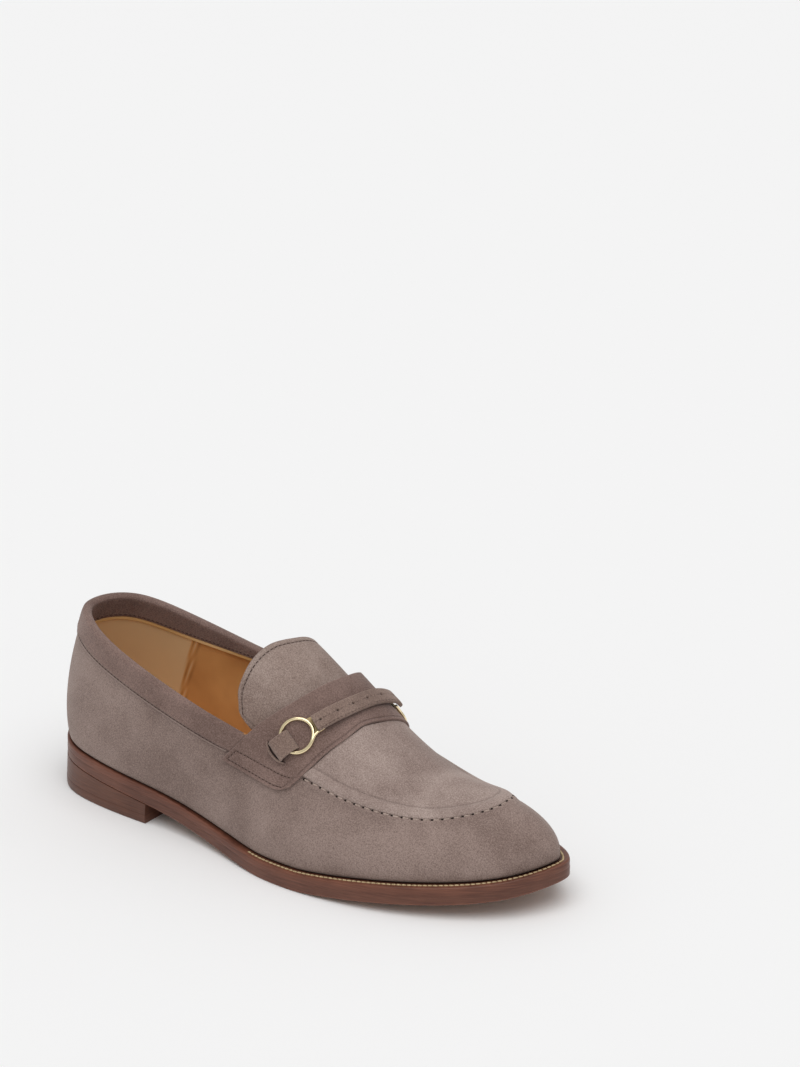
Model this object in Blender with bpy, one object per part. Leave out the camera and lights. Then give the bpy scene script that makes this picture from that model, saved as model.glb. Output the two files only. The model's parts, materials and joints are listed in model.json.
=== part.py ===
"""Bit loafer, right shoe: suede upper on a leather sole.

Metres in the scene, millimetres in the tables. The toe points to +X, the inner (medial)
side of the foot to +Y, and the shoe stands on z = 0.

The upper is drawn on ribs. Each rib runs from the feather line, where the upper meets the
welt, up to the crown line over the instep, as a cubic curve with four control points:
feather, swell, shoulder and crown. Every other soft piece is a patch of the same surface,
moved off it by a few tenths of a millimetre.
"""
import math

import bmesh
import bpy
import numpy as np

MM = 0.001
LENGTH = 302.0          # sole, heel to toe
CENTRE_X, CENTRE_Y = 150.5, -2.07    # middle of the shoe's box, which the origin is moved to
GAP = 0.3               # between pieces that meet

OUTSOLE = 4.9           # thicknesses
WELT = 4.2
LIFT = 5.0              # top piece under the heel
WALL = 2.0              # upper, its lining included
STEP = 1.4              # how far the upper drops under the apron
APRON_WALL = 1.9        # upper under the apron
MARGIN = 8.0            # lasting margin turned in under the foot
INSOLE = 2.4
BAND = 1.2              # collar band
BAND_OUT, BAND_IN = 12.5, 13.0
STRAP = 1.6
TONGUE = 1.8
TONGUE_DROP = 3.8       # tongue under the last surface
HEEL_X = 75.0           # heel breast

RING, WIRE = 8.4, 1.8   # bit ring: radius to the middle of the wire, wire
BAR_W, BAR_H = 9.0, 2.0
LOOP_W, LOOP_H = 11.0, 1.2

# Bit. Ring centres: feather station and share of the rib on each side.
BIT_STATION = {-1: 135.6, 1: 157.0}
BIT_SHARE = {-1: 0.668, 1: 0.64}
BIT_LIFT = {-1: 0.0, 1: 0.5}    # more room under the ring
BIT_TURN = {-1: 11.0, 1: -11.0}     # degrees that its axis leans to the toe
WEB = 1.3               # thickness of horns and web where the bar lies on them
# Middle of the bar: place from the lateral to the medial end, station.
BAR_PATH = ((-1.0, 139.0), (-0.5, 142.0), (0.0, 145.3), (0.5, 150.0), (1.0, 154.5))
BAR_SHARE = 0.772       # share of the rib at both ends of the bar
BAR_END = 4.6           # height over the last at its ends and at the crown
BAR_CROWN = 2.9

SUEDE = (0.262, 0.196, 0.172)
SUEDE_DARK = (0.220, 0.160, 0.140)
LINING = (0.520, 0.265, 0.095)
LEATHER_SOLE = (0.170, 0.078, 0.047)
LEATHER_WELT = (0.215, 0.098, 0.060)
HEEL = (0.110, 0.055, 0.036)
TOP_PIECE = (0.070, 0.040, 0.030)
CORK = (0.450, 0.300, 0.170)
BRASS = (0.800, 0.620, 0.330)

# Sole outline: distance from the heel, lateral half width, medial half width.
OUTLINE = (
    (0.0, 0.0, 0.0),
    (5.0, 14.8, 16.5),
    (15.0, 25.6, 26.6),
    (35.0, 32.8, 32.6),
    (60.0, 36.0, 32.6),
    (85.0, 37.5, 30.2),
    (110.0, 40.6, 28.0),
    (135.0, 46.5, 28.4),
    (160.0, 53.0, 33.0),
    (185.0, 55.0, 42.0),
    (210.0, 53.2, 49.3),
    (235.0, 47.8, 50.4),
    (258.0, 38.8, 44.6),
    (277.0, 27.6, 35.8),
    (291.0, 14.7, 25.8),
    (299.0, 1.8, 16.9),
    (302.0, -9.2, 9.2),
)

# Underside of the outsole: distance from the heel, height. Level at the tread.
PROFILE = (
    (0.0, 18.1), (35.0, 14.6), (72.0, 10.9), (95.0, 8.0), (115.0, 4.8), (135.0, 1.9),
    (150.0, 0.35), (158.0, 0.0), (182.0, 0.0), (195.0, 1.1), (215.0, 3.2), (235.0, 5.2),
    (255.0, 7.1), (275.0, 9.3), (290.0, 11.9), (302.0, 15.0),
)
TREAD = (158.0, 182.0)

# Welt left showing outside the upper: distance, lateral, medial.
SHELF = (
    (0.0, 1.6, 1.6), (60.0, 1.8, 1.8), (110.0, 2.6, 2.2), (160.0, 4.4, 3.4),
    (210.0, 5.2, 4.6), (260.0, 5.2, 5.0), (302.0, 5.2, 5.2),
)

# Ribs of the last. at: feather station. out_, up_: swell beyond and above the feather.
# lean: swell along x. crown_: top of the rib. side_: shoulder half width. reach: shoulder
# ahead of the crown, along its slope. flat: share by which the top of the arch is widened.
RIB_COLUMNS = (
    "at", "out_l", "up_l", "side_l", "out_m", "up_m", "side_m", "lean",
    "crown_x", "crown_y", "crown_z", "reach", "flat",
)
RIBS = (
    (0.0, 0.0, 27.0, 0.0, 0.0, 27.0, 0.0, -12.0, 45.0, 0.0, 138.0, -21.0, 0.0),
    (30.0, 4.0, 27.0, 31.0, 4.0, 27.0, 31.0, 0.0, 86.0, 0.0, 134.0, -20.5, 0.2),
    (75.0, 3.5, 26.0, 39.0, 4.5, 26.0, 34.5, 4.0, 132.0, 2.5, 118.0, 0.0, 0.45),
    (115.0, 5.0, 25.0, 42.5, 8.0, 25.0, 33.0, 5.0, 164.0, 6.0, 94.5, 0.0, 0.45),
    (150.0, 4.5, 23.0, 42.5, 7.0, 23.0, 30.0, 3.0, 186.0, 7.5, 77.5, 0.0, 0.4),
    (185.0, 3.5, 20.5, 39.5, 5.0, 18.5, 26.0, 2.0, 203.0, 6.0, 67.5, 0.0, 0.2),
    (220.0, 4.0, 18.5, 33.5, 4.0, 13.5, 19.0, 1.0, 218.0, 4.5, 59.5, 0.0, 0.1),
    (255.0, 3.5, 16.0, 26.0, 3.5, 11.0, 14.0, 1.0, 233.0, 5.0, 54.3, 5.0, 0.0),
    (285.0, 2.0, 15.0, 14.5, 3.0, 13.0, 11.5, 2.0, 248.0, 6.5, 52.2, 18.0, 0.0),
    (302.0, 0.0, 14.0, 0.0, 0.0, 14.0, 0.0, 2.5, 256.0, 6.5, 51.0, 25.0, 0.0),
)

# Topline: feather station, height on the lateral and on the medial side.
TOPLINE = (
    (0.0, 97.0, 97.0), (12.0, 95.0, 96.5), (30.0, 89.0, 90.0), (55.0, 80.0, 83.0),
    (80.0, 72.0, 78.0), (100.0, 67.5, 75.0), (112.0, 66.0, 73.0), (120.0, 65.5, 72.0),
)
# The throat climbs from the topline to the crown under the saddle strap: station, share of the
# climb on the lateral and on the medial side.
THROAT = (
    (112.0, 0.0, 0.0), (118.0, 0.20, 0.0), (124.0, 0.45, 0.25), (130.0, 0.74, 0.62), (136.0, 1.0, 1.0),
)

# Apron seam: feather station, share of the rib.
SEAM = (
    (0.0, 0.48), (60.0, 0.44), (90.0, 0.435), (112.0, 0.45), (140.0, 0.505), (157.0, 0.53),
    (187.0, 0.535), (220.0, 0.53), (245.0, 0.54), (260.0, 0.565), (272.0, 0.61), (280.0, 0.652),
    (290.0, 0.725), (302.0, 0.825),
)

# Saddle strap. Share of the rib, then stations of the back and front edges: lateral, medial.
SADDLE_COLUMNS = ("share", "back_l", "front_l", "back_m", "front_m")
SADDLE = (
    (0.36, 109.7, 151.0, 120.0, 163.0), (0.46, 111.9, 155.0, 121.0, 169.5),
    (0.58, 113.7, 157.6, 122.5, 174.0), (0.70, 117.0, 158.6, 124.0, 176.0),
    (0.84, 120.2, 160.6, 125.0, 174.5), (0.915, 121.4, 160.6, 124.6, 172.0),
    (1.0, 123.5, 167.5, 123.5, 167.5),
)
# Its cross rows, from the lower end to the crown.
STRAP_ROWS = (0.0, 0.08, 0.16, 0.25, 0.35, 0.45, 0.55, 0.65, 0.74, 0.82, 0.88, 0.94, 1.0)
# Its lower ends: place between the edges, share of the rib. The front corner is rounded.
SADDLE_END = (
    (0.0, 0.362), (0.3, 0.378), (0.6, 0.394), (0.8, 0.404), (0.92, 0.418), (1.0, 0.458),
)

# Tongue: share of the rib, station of its rounded back edge (lateral, medial) and of its front.
TONGUE_EDGE = (
    (0.525, 112.0, 118.0, 150.0), (0.535, 104.0, 113.5, 155.0), (0.56, 97.0, 109.5, 160.0),
    (0.60, 92.0, 105.5, 164.0), (0.66, 88.0, 101.5, 168.0), (0.74, 85.4, 98.0, 170.0),
    (0.82, 84.8, 95.2, 170.0), (0.91, 86.0, 92.6, 170.0), (1.0, 90.0, 90.0, 170.0),
)

# Feather stations of the ribs that the solids are cut into.
STATIONS = (
    0.0, 3.0, 9.0, 18.0, 29.0, 41.0, 54.0, 67.0, 80.0, 92.0, 103.0, 112.0, 118.0, 124.0,
    130.0, 136.0, 143.0, 150.0, 158.0, 166.0, 174.0, 182.0, 192.0, 203.0, 214.0, 225.0,
    236.0, 247.0, 257.0, 266.0, 274.0, 281.0, 287.0, 292.0, 296.5, 300.0, 302.0,
)


def spline(knots, values, period=None):
    """Cubic spline through the knots, natural at its ends or closed over a period."""
    x, y = np.array(knots, float), np.array(values, float)
    if period:
        x, y = np.append(x, x[0] + period), np.append(y, y[0])
    n, h = len(x), np.diff(x)
    slope = np.diff(y) / h
    a, b = np.zeros((n, n)), np.zeros(n)
    for i in range(1, n - 1):
        a[i, i - 1:i + 2] = h[i - 1], 2 * (h[i - 1] + h[i]), h[i]
        b[i] = 6 * (slope[i] - slope[i - 1])
    if period:
        a[0, [0, 1, n - 2]] = 2 * (h[-1] + h[0]), h[0], h[-1]
        b[0] = 6 * (slope[0] - slope[-1])
        a[n - 1, [0, n - 1]] = 1, -1
    else:
        a[0, 0] = a[n - 1, n - 1] = 1
    bend = np.linalg.solve(a, b)

    def at(where):
        q = np.asarray(where, float)
        if period:
            q = x[0] + np.mod(q - x[0], period)
        i = np.clip(np.searchsorted(x, q, side="right") - 1, 0, n - 2)
        left, right = (x[i + 1] - q) / h[i], (q - x[i]) / h[i]
        curve = (left**3 - left) * bend[i] + (right**3 - right) * bend[i + 1]
        return left * y[i] + right * y[i + 1] + curve * h[i]**2 / 6

    return at


def angle(station, side=-1):
    """Angle round the foot of a station: 0 at the heel, pi at the toe, back on the medial side."""
    turn = np.arccos(np.clip(1 - 2 * np.asarray(station, float) / LENGTH, -1, 1))
    return turn if side < 0 else 2 * np.pi - turn


def station(theta):
    return LENGTH * (1 - np.cos(theta)) / 2


def round_foot(at, lateral, medial):
    """Closed spline of a value given by station on both sides; the ends are shared."""
    lateral_turns = list(angle(at))
    inner = range(len(at) - 2, 0, -1)
    turns = lateral_turns + [2 * math.pi - lateral_turns[i] for i in inner]
    return spline(turns, list(lateral) + [medial[i] for i in inner], 2 * math.pi)


def columns(rows):
    return [list(column) for column in zip(*rows)]


_at, _lateral, _medial = columns(OUTLINE)
edge_y = round_foot(_at, [-value for value in _lateral], _medial)
shelf = round_foot(*columns(SHELF))
_profile = spline(*columns(PROFILE))
LAST = dict(zip(RIB_COLUMNS, columns(RIBS)))


def both(left, right=None, mirror=False):
    """A column, or a lateral and a medial one, of the rib table as a closed spline."""
    lateral = [-v if mirror else v for v in LAST[left]]
    return round_foot(LAST["at"], lateral, LAST[right or left])


out, up = both("out_l", "out_m", True), both("up_l", "up_m")
side, lean, reach = both("side_l", "side_m", True), both("lean"), both("reach")
flat = both("flat")
crown_x, crown_y = both("crown_x"), both("crown_y")
crown_z = spline(LAST["crown_x"], LAST["crown_z"])
_at, _share = columns(SEAM)
seam = round_foot(_at, _share, _share)
topline = round_foot(*[column + [302.0 if i == 0 else 69.0]
                       for i, column in enumerate(columns(TOPLINE))])


def ground(x):
    """Underside of the outsole."""
    x = np.asarray(x, float)
    level = (x >= TREAD[0]) & (x <= TREAD[1])
    return np.where(level, 0.0, np.maximum(_profile(x), 0.0))


def feather_z(x):
    return ground(x) + OUTSOLE + GAP + WELT + GAP


def outline(theta, inset=0.0):
    """Sole outline, moved inwards."""
    theta = np.asarray(theta, float)
    step = 1e-4
    ahead = np.stack([station(theta + step), edge_y(theta + step)], -1)
    behind = np.stack([station(theta - step), edge_y(theta - step)], -1)
    run = ahead - behind
    run /= np.linalg.norm(run, axis=-1, keepdims=True)
    inward = np.stack([-run[..., 1], run[..., 0]], -1)
    here = np.stack([station(theta), edge_y(theta)], -1)
    return here + inward * np.asarray(inset)[..., None]


def margin(theta):
    """Lasting margin: it narrows at the toe, where the outline bends most."""
    return MARGIN - 4.8 * np.clip((station(theta) - 280) / 22, 0, 1)


def last(theta, share):
    """Point of the last surface: theta round the foot, share 0 at the feather, 1 at the crown."""
    theta, share = np.broadcast_arrays(np.asarray(theta, float), np.asarray(share, float))
    foot = outline(theta, shelf(theta))
    feather = np.stack([foot[..., 0], foot[..., 1], feather_z(foot[..., 0])], -1)
    swell = feather + np.stack([lean(theta), out(theta), up(theta)], -1)
    x, y, z = crown_x(theta), crown_y(theta), crown_z(crown_x(theta))
    crown = np.stack([x, y, z], -1)
    slope = (crown_z(x + 0.5) - crown_z(x - 0.5))
    shift = reach(theta)
    shoulder = crown + np.stack([shift, side(theta), slope * shift], -1)
    a, b = (1 - share)[..., None], share[..., None]
    point = a**3 * feather + 3 * a**2 * b * swell + 3 * a * b**2 * shoulder + b**3 * crown
    point[..., 1] += (point[..., 1] - y) * flat(theta) * share**4
    return point


def frame(theta, share):
    """Point, unit run round the foot, unit climb towards the crown, and outward normal."""
    share = np.clip(share, 0.003, 0.997)
    run = last(theta + 1e-3, share) - last(theta - 1e-3, share)
    climb = last(theta, share + 1e-3) - last(theta, share - 1e-3)
    normal = np.cross(run, climb)
    far = 2 * np.pi - theta
    opposite = np.cross(last(far + 1e-3, share) - last(far - 1e-3, share),
                        last(far, share + 1e-3) - last(far, share - 1e-3))
    normal = np.where((share > 0.996)[..., None], normal + opposite, normal)
    unit = [v / np.linalg.norm(v, axis=-1, keepdims=True) for v in (run, climb, normal)]
    return [last(theta, share)] + unit


def off(theta, share, distance):
    """Point of the last moved along its normal."""
    normal = frame(theta, share)[3]
    return last(theta, share) + normal * np.asarray(distance, float)[..., None]


def per_mm(theta, share):
    """Share of the rib that one millimetre takes."""
    share = np.clip(share, 0.01, 0.99)
    return 0.02 / np.linalg.norm(last(theta, share + 0.01) - last(theta, share - 0.01), axis=-1)


def turn_per_mm(theta, share):
    """Turn round the foot that one millimetre takes."""
    return 2e-3 / np.linalg.norm(last(theta + 1e-3, share) - last(theta - 1e-3, share), axis=-1)


def top_share(theta):
    """Share of each rib at which the upper ends."""
    theta = np.atleast_1d(np.asarray(theta, float))
    x = station(theta)
    low, high = np.full(theta.shape, 0.2), np.full(theta.shape, 0.8)
    wanted = topline(theta)
    for _ in range(30):
        middle = (low + high) / 2
        under = last(theta, middle)[..., 2] < wanted
        low, high = np.where(under, middle, low), np.where(under, high, middle)
    at, lateral, medial = columns(THROAT)
    climb = np.where(theta <= np.pi, np.interp(x, at, lateral), np.interp(x, at, medial))
    return low + (1 - low) * climb


def angles(first=0.0, final=LENGTH, extra=()):
    """Turns of the stations between two, from the first on the lateral side round the toe."""
    kept = sorted({s for s in STATIONS if first <= s <= final} | set(extra))
    lateral = [float(angle(s)) for s in kept]
    return np.array(lateral + [2 * math.pi - turn for turn in reversed(lateral)])


def put(name, patches, colour, roughness, metallic=0.0, smooth=40):
    """One closed mesh object from patches of points, in millimetres."""
    mesh = bpy.data.meshes.new(name)
    net = bmesh.new()
    for points in patches:
        points = np.asarray(points, float)
        moved = (points - [CENTRE_X, CENTRE_Y, 0]) * MM
        rows = [[net.verts.new(point) for point in row] for row in moved]
        for row, following in zip(rows, rows[1:]):
            for i in range(len(row) - 1):
                net.faces.new((row[i], row[i + 1], following[i + 1], following[i]))
    bmesh.ops.remove_doubles(net, verts=net.verts, dist=2e-6)
    bmesh.ops.dissolve_degenerate(net, dist=1e-7, edges=net.edges)
    bmesh.ops.recalc_face_normals(net, faces=net.faces)
    net.to_mesh(mesh)
    net.free()
    mesh.shade_smooth()
    mesh.set_sharp_from_angle(angle=math.radians(smooth))
    thing = bpy.data.objects.new(name, mesh)
    bpy.context.scene.collection.objects.link(thing)
    look = bpy.data.materials.new(name)
    look.use_nodes = True
    shader = look.node_tree.nodes["Principled BSDF"]
    shader.inputs["Base Color"].default_value = (*colour, 1.0)
    shader.inputs["Roughness"].default_value = roughness
    shader.inputs["Metallic"].default_value = metallic
    mesh.materials.append(look)
    return thing


def lift(flat, z):
    return np.concatenate([flat, np.asarray(z)[..., None]], -1)


def slab(low_edge, high_edge):
    """Closed plate between two outlines given as (n, 3) rings, mirrored about the middle."""
    def across(ring):
        half = len(ring) // 2
        return np.stack([ring[:half + 1], np.concatenate([ring[:1], ring[:half - 1:-1]])], 1)
    walls = np.stack([low_edge, high_edge], 0)
    walls = np.concatenate([walls, walls[:, :1]], 1)
    return [across(low_edge), across(high_edge), walls]


def closed_band(rings):
    """Closed tube between rings that follow one another round a section."""
    rings = np.stack(list(rings) + [rings[0]], 0)
    return [np.concatenate([rings, rings[:, :1]], 1)]


def shell(outer, inner):
    """Closed plate between two grids of the same size."""
    edges = [
        np.stack([outer[0], inner[0]]), np.stack([outer[-1], inner[-1]]),
        np.stack([outer[:, 0], inner[:, 0]]), np.stack([outer[:, -1], inner[:, -1]]),
    ]
    return [outer, inner] + edges


def sole_pieces():
    turns = np.concatenate([angles()[:len(STATIONS)], angles()[len(STATIONS) + 1:-1]])
    edge = outline(turns)
    under = ground(edge[:, 0])
    put("outsole", slab(lift(edge, under), lift(edge, under + OUTSOLE)), LEATHER_SOLE, 0.45)
    rim = outline(turns, 0.3)
    inside = outline(turns, shelf(turns) + margin(turns) + 2)
    low, high = OUTSOLE + GAP, OUTSOLE + GAP + WELT
    put("welt", closed_band([
        lift(rim, ground(rim[:, 0]) + low), lift(rim, ground(rim[:, 0]) + high),
        lift(inside, ground(inside[:, 0]) + high), lift(inside, ground(inside[:, 0]) + low),
    ]), LEATHER_WELT, 0.45)
    core = outline(turns, shelf(turns) + margin(turns) + 2 + GAP)
    top = feather_z(core[:, 0]) + WALL - 0.1
    put("filler", slab(lift(core, ground(core[:, 0]) + low), lift(core, top)), CORK, 0.9)
    ahead = np.clip((station(turns) - 145) / 20, 0, 1)
    bed = outline(turns, shelf(turns) + WALL + 0.5 + 1.6 * ahead)
    floor = feather_z(bed[:, 0]) + WALL + GAP
    put("insole", slab(lift(bed, floor), lift(bed, floor + INSOLE)), LINING, 0.55)


def heel_pieces():
    rear = [s for s in STATIONS if s < HEEL_X - 3] + [HEEL_X]
    turns = np.array([float(angle(s)) for s in rear])
    turns = np.concatenate([turns, 2 * math.pi - turns[:0:-1]])

    def block(name, low, high, draw_low, draw_high, colour):
        foot, head = outline(turns, draw_low), outline(turns, draw_high)
        half = len(rear)
        level = high(head[:, 0]) if callable(high) else np.full(len(head), high)
        low_ring, high_ring = lift(foot, np.full(len(foot), low)), lift(head, level)

        def across(ring):
            far = np.concatenate([ring[:1], ring[:half - 1:-1]])
            return np.stack([ring[:half], far], 1)
        walls = np.stack([low_ring, high_ring])
        walls = np.concatenate([walls, walls[:, :1]], 1)
        put(name, [across(low_ring), across(high_ring), walls], colour, 0.5)

    def seat(x):
        return ground(x) - GAP
    block("top_piece", 0.0, LIFT, -1.0, -0.8, TOP_PIECE)
    block("heel_stack", LIFT + GAP, seat, -0.8, -0.1, HEEL)


def upper_piece():
    turns = angles()
    top = top_share(turns)
    x = station(turns)
    ramp = np.clip((x - 157) / 9, 0, 1)
    seams = np.minimum(seam(turns), top - 0.03)
    steps = []
    for k in range(15):
        if k <= 8:
            share, drop = seams * k / 8, 0.0 * ramp
        else:
            first = seams + np.where(ramp > 0, 0.9 * per_mm(turns, seams), (top - seams) / 6)
            share = first + (top - first) * (k - 9) / 5
            drop = STEP * ramp
        steps.append((np.minimum(share, top), drop))
    wall = WALL + (APRON_WALL - WALL) * ramp
    outer = np.stack([off(turns, share, -drop) for share, drop in steps])
    inner = np.stack([off(turns, share, -(STEP * ramp + wall)) for share, drop in steps[1:]])
    foot = outline(turns, shelf(turns) + WALL)
    hem = outline(turns, shelf(turns) + margin(turns))
    corner = lift(foot, feather_z(foot[:, 0]) + WALL)
    hem_high = lift(hem, feather_z(hem[:, 0]) + WALL)
    hem_low = lift(hem, feather_z(hem[:, 0]))
    skin = np.concatenate([inner[::-1], [corner], [hem_high], [hem_low], [outer[0]]])
    open_front = np.abs(top - 1) > 1e-9
    first = np.argmax(~open_front)
    rim = np.stack([outer[-1], inner[-1]])
    rims = [rim[:, :first + 1], rim[:, ::-1][:, :first + 1]]
    put("upper", [outer, skin] + rims, SUEDE, 0.95)


def apron_piece():
    turns = angles(180.0, LENGTH, (160.0, 170.0))
    strap = dict(zip(SADDLE_COLUMNS, columns(SADDLE)))
    edge = seam(turns) + 1.3 * per_mm(turns, seam(turns))
    roll = ((0.0, 0.6), (0.5, 1.2), (1.9, 1.6), (3.4, 1.4), (4.8, 0.8), (6.0, 0.4))
    rows = [(edge + distance * per_mm(turns, edge), height) for distance, height in roll]
    inner_edge = rows[-1][0]
    rows += [(inner_edge + (1 - inner_edge) * k / 4, 0.4) for k in range(1, 5)]
    outer, inner = [], []
    for share, height in rows:
        starts = [np.interp(share[end], strap["share"], strap[edge]) + 0.9
                  for end, edge in ((0, "front_l"), (-1, "front_m"))]
        halfway = [(start + 182) / 2 for start in starts]
        turn = np.concatenate([
            angle([starts[0], halfway[0]]), turns[2:-2], angle([halfway[1], starts[1]], 1),
        ])
        ramp = np.clip((station(turn) - 157) / 9, 0, 1)
        outer.append(off(turn, share, np.full_like(turn, height)))
        inner.append(off(turn, share, GAP - STEP * ramp))
    outer, inner = np.stack(outer), np.stack(inner)
    back = [np.stack([outer[:, i], inner[:, i]]) for i in (0, -1)]
    put("apron", [outer, inner, np.stack([outer[0], inner[0]])] + back, SUEDE, 0.95)


def collar_piece():
    lateral = [float(angle(s)) for s in STATIONS if s < 108] + [float(angle(109.0))]
    medial = [float(angle(s)) for s in STATIONS if 0 < s < 115] + [float(angle(119.3))]
    turns = np.array([-turn for turn in reversed(medial)] + lateral)
    top = top_share(np.mod(turns, 2 * math.pi))
    mm = per_mm(turns, top)
    proud, lining = GAP + BAND, -(WALL + GAP + BAND)
    section = (
        (-BAND_OUT, GAP), (-BAND_OUT, proud), (-BAND_OUT / 2, proud), (0.2, proud),
        (1.3, 0.4), (1.3, -WALL - 0.4), (0.2, lining), (-BAND_IN / 2, lining),
        (-BAND_IN, lining), (-BAND_IN, -(WALL + GAP)), (-BAND_IN / 2, -(WALL + GAP)),
        (0.3, -(WALL + GAP)), (0.3, GAP), (-BAND_OUT / 2, GAP),
    )
    rows = [off(turns, top + along * mm, np.full_like(turns, away)) for along, away in section]
    tube = np.stack(rows + rows[:1])
    caps = []
    for end in (0, -1):
        ring = tube[:-1, end]
        pairs = [(0, 1, 2, 13), (13, 2, 3, 12), (12, 3, 4, 4), (12, 4, 5, 11), (11, 5, 6, 6),
                 (11, 6, 7, 10), (10, 7, 8, 9)]
        caps += [np.array([[ring[a], ring[b]], [ring[d], ring[c]]]) for a, b, c, d in pairs]
    put("collar_band", [tube] + caps, SUEDE_DARK, 0.95)


def strap_piece():
    strap = dict(zip(SADDLE_COLUMNS, columns(SADDLE)))
    places, ends = np.linspace(0, 1, 9), np.interp(np.linspace(0, 1, 9), *columns(SADDLE_END))
    sides = []
    for hand in "lm":
        rows = []
        for u in STRAP_ROWS:
            shares = ends + (1 - ends) * u
            back, front = (np.interp(shares, strap["share"], strap[edge + hand])
                           for edge in ("back_", "front_"))
            rows.append(np.stack([back + (front - back) * places, shares], -1))
        sides.append(np.array(rows))
    grid = over_instep(*sides)
    put("saddle_strap", shell(*[
        off(grid[..., 0], grid[..., 1], np.full(grid.shape[:2], h)) for h in (GAP + STRAP, GAP)
    ]), SUEDE_DARK, 0.95)


def over_instep(lateral, medial):
    """Rows of (station, share) from the lateral side over the crown to the medial side."""
    lateral = np.stack([angle(lateral[..., 0]), lateral[..., 1]], -1)
    medial = np.stack([angle(medial[..., 0], 1), medial[..., 1]], -1)
    return np.concatenate([lateral, medial[::-1][1:]])


def tongue_piece():
    at, back_l, back_m, ahead = columns(TONGUE_EDGE)
    sides = [
        np.array([np.stack([b + (f - b) * np.linspace(0, 1, 11), np.full(11, share)], -1)
                  for share, b, f in zip(at, back, ahead)])
        for back in (back_l, back_m)
    ]
    grid = over_instep(*sides)
    put("tongue", shell(*[
        off(grid[..., 0], grid[..., 1], np.full(grid.shape[:2], h))
        for h in (-TONGUE_DROP, -TONGUE_DROP - TONGUE)
    ]), SUEDE, 0.95)


def placed(hand, flat):
    """Points (along the bit, across it, height over the strap), given from the ring's middle.

    The ring is level. Beyond it the horns and the web bend with the instep.
    """
    flat = np.asarray(flat, float)
    along, across, high = flat[..., 0], flat[..., 1], flat[..., 2]
    blend = np.clip((along - 2) / 8, 0, 1)
    blend = (blend**2 * (3 - 2 * blend))[..., None]
    high = high + GAP + STRAP + GAP + BIT_LIFT[hand]
    turn, share = angle(BIT_STATION[hand], hand), np.array(BIT_SHARE[hand])
    point, run, climb, normal = frame(turn, share)
    ahead = -hand * run
    slant = climb.dot(ahead)
    toward = climb - slant * ahead
    size = np.linalg.norm(toward)
    lean_ = math.radians(BIT_TURN[hand])
    along, across = (along * math.cos(lean_) - across * math.sin(lean_),
                     along * math.sin(lean_) + across * math.cos(lean_))
    level = point + (along[..., None] * toward / size + across[..., None] * ahead
                     + high[..., None] * normal)
    turned = turn - hand * (across - along * slant / size) * turn_per_mm(turn, share)
    bent = off(turned, share + along / size * per_mm(turn, share), high)
    return level * (1 - blend) + bent * blend


def ring_piece(name, hand):
    """Ring with two horns that flare to the corners of the bar, and the web between them."""
    count = 40
    turn = np.linspace(0, 2 * np.pi, count, endpoint=False)
    outside, hole = RING + WIRE / 2, RING - WIRE / 2
    ring = np.stack([np.cos(turn), np.sin(turn)], -1)
    flare = np.clip((np.cos(turn) - 0.15) / 0.6, 0, 1)
    flare = flare * flare * (3 - 2 * flare)
    reach_out = outside + 5.2
    horn_x = outside * np.cos(turn) * (1 - flare) + reach_out * flare
    width = BAR_W / 2 - 0.4
    tips = np.clip(np.sin(turn) * outside, -width, width)
    horn_y = outside * np.sin(turn) * (1 - flare) + tips * flare
    edge = np.stack([horn_x, horn_y], -1)
    middle = np.array([0.0, 0.0])
    inset = edge + (middle - edge) / np.linalg.norm(edge, axis=-1, keepdims=True) * 0.6
    inner, rim = ring * hole, ring * (hole + 0.6)
    thin = 1 - (1 - WEB / WIRE) * np.clip((edge[:, 0] - outside) / 2, 0, 1)
    levels = (
        (edge, 0.3 * thin), (edge, 0.7 * thin), (inset, thin), (rim, 1.0), (inner, 0.7), (inner, 0.3),
        (rim, 0.0), (inset, 0.0),
    )
    rings = [placed(hand, lift(flat, WIRE * z * np.ones(count))) for flat, z in levels]
    put(name, closed_band(rings), BRASS, 0.25, 1.0)


def over_crown(theta, share, height):
    """Like off, for a share that may run past the crown and down the other side."""
    past = share > 1
    return off(np.where(past, 2 * np.pi - theta, theta), np.where(past, 2 - share, share), height)


def bar_grid(places, across, rise):
    """Points of the bar: place from end to end, distance across it, height over its underside."""
    path = spline(*columns(BAR_PATH))
    share = 1 - (1 - BAR_SHARE) * np.abs(places)
    theta = np.where(places < 0, angle(path(places)), angle(path(places), 1))
    point, run, climb, normal = frame(theta, share)
    ahead = np.gradient(point, axis=0)
    square = np.cross(ahead, normal)
    square /= np.linalg.norm(square, axis=1, keepdims=True)
    square *= np.sign(square[:, :1])
    # Steps along the run and the climb that add up to one millimetre straight across.
    lean_ = (run * climb).sum(1)
    along_run, along_climb = (square * run).sum(1), (square * climb).sum(1)
    step_run = (along_run - lean_ * along_climb) / (1 - lean_**2)
    step_climb = (along_climb - lean_ * along_run) / (1 - lean_**2)
    high = BAR_CROWN + (BAR_END - BAR_CROWN) * np.minimum(1, np.abs(places) / 0.75)**2
    turns = theta[:, None] + np.outer(step_run * turn_per_mm(theta, share), across)
    shares = share[:, None] + np.outer(step_climb * per_mm(theta, share), across)
    return over_crown(turns, shares, high[:, None] + rise)


def bar_piece():
    """Leather bar: it lies over the webs of both rings and bows over the crown."""
    half = BAR_W / 2
    across = np.array([-half, 0.7 - half, 0.0, half - 0.7, half])
    edges = np.array([0.7, 1.0, 1.0, 1.0, 0.7])
    put("bit_bar", shell(*[bar_grid(np.linspace(-1, 1, 21), across, height * edges)
                           for height in (BAR_H, 0.0)]), SUEDE_DARK, 0.95)


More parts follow.
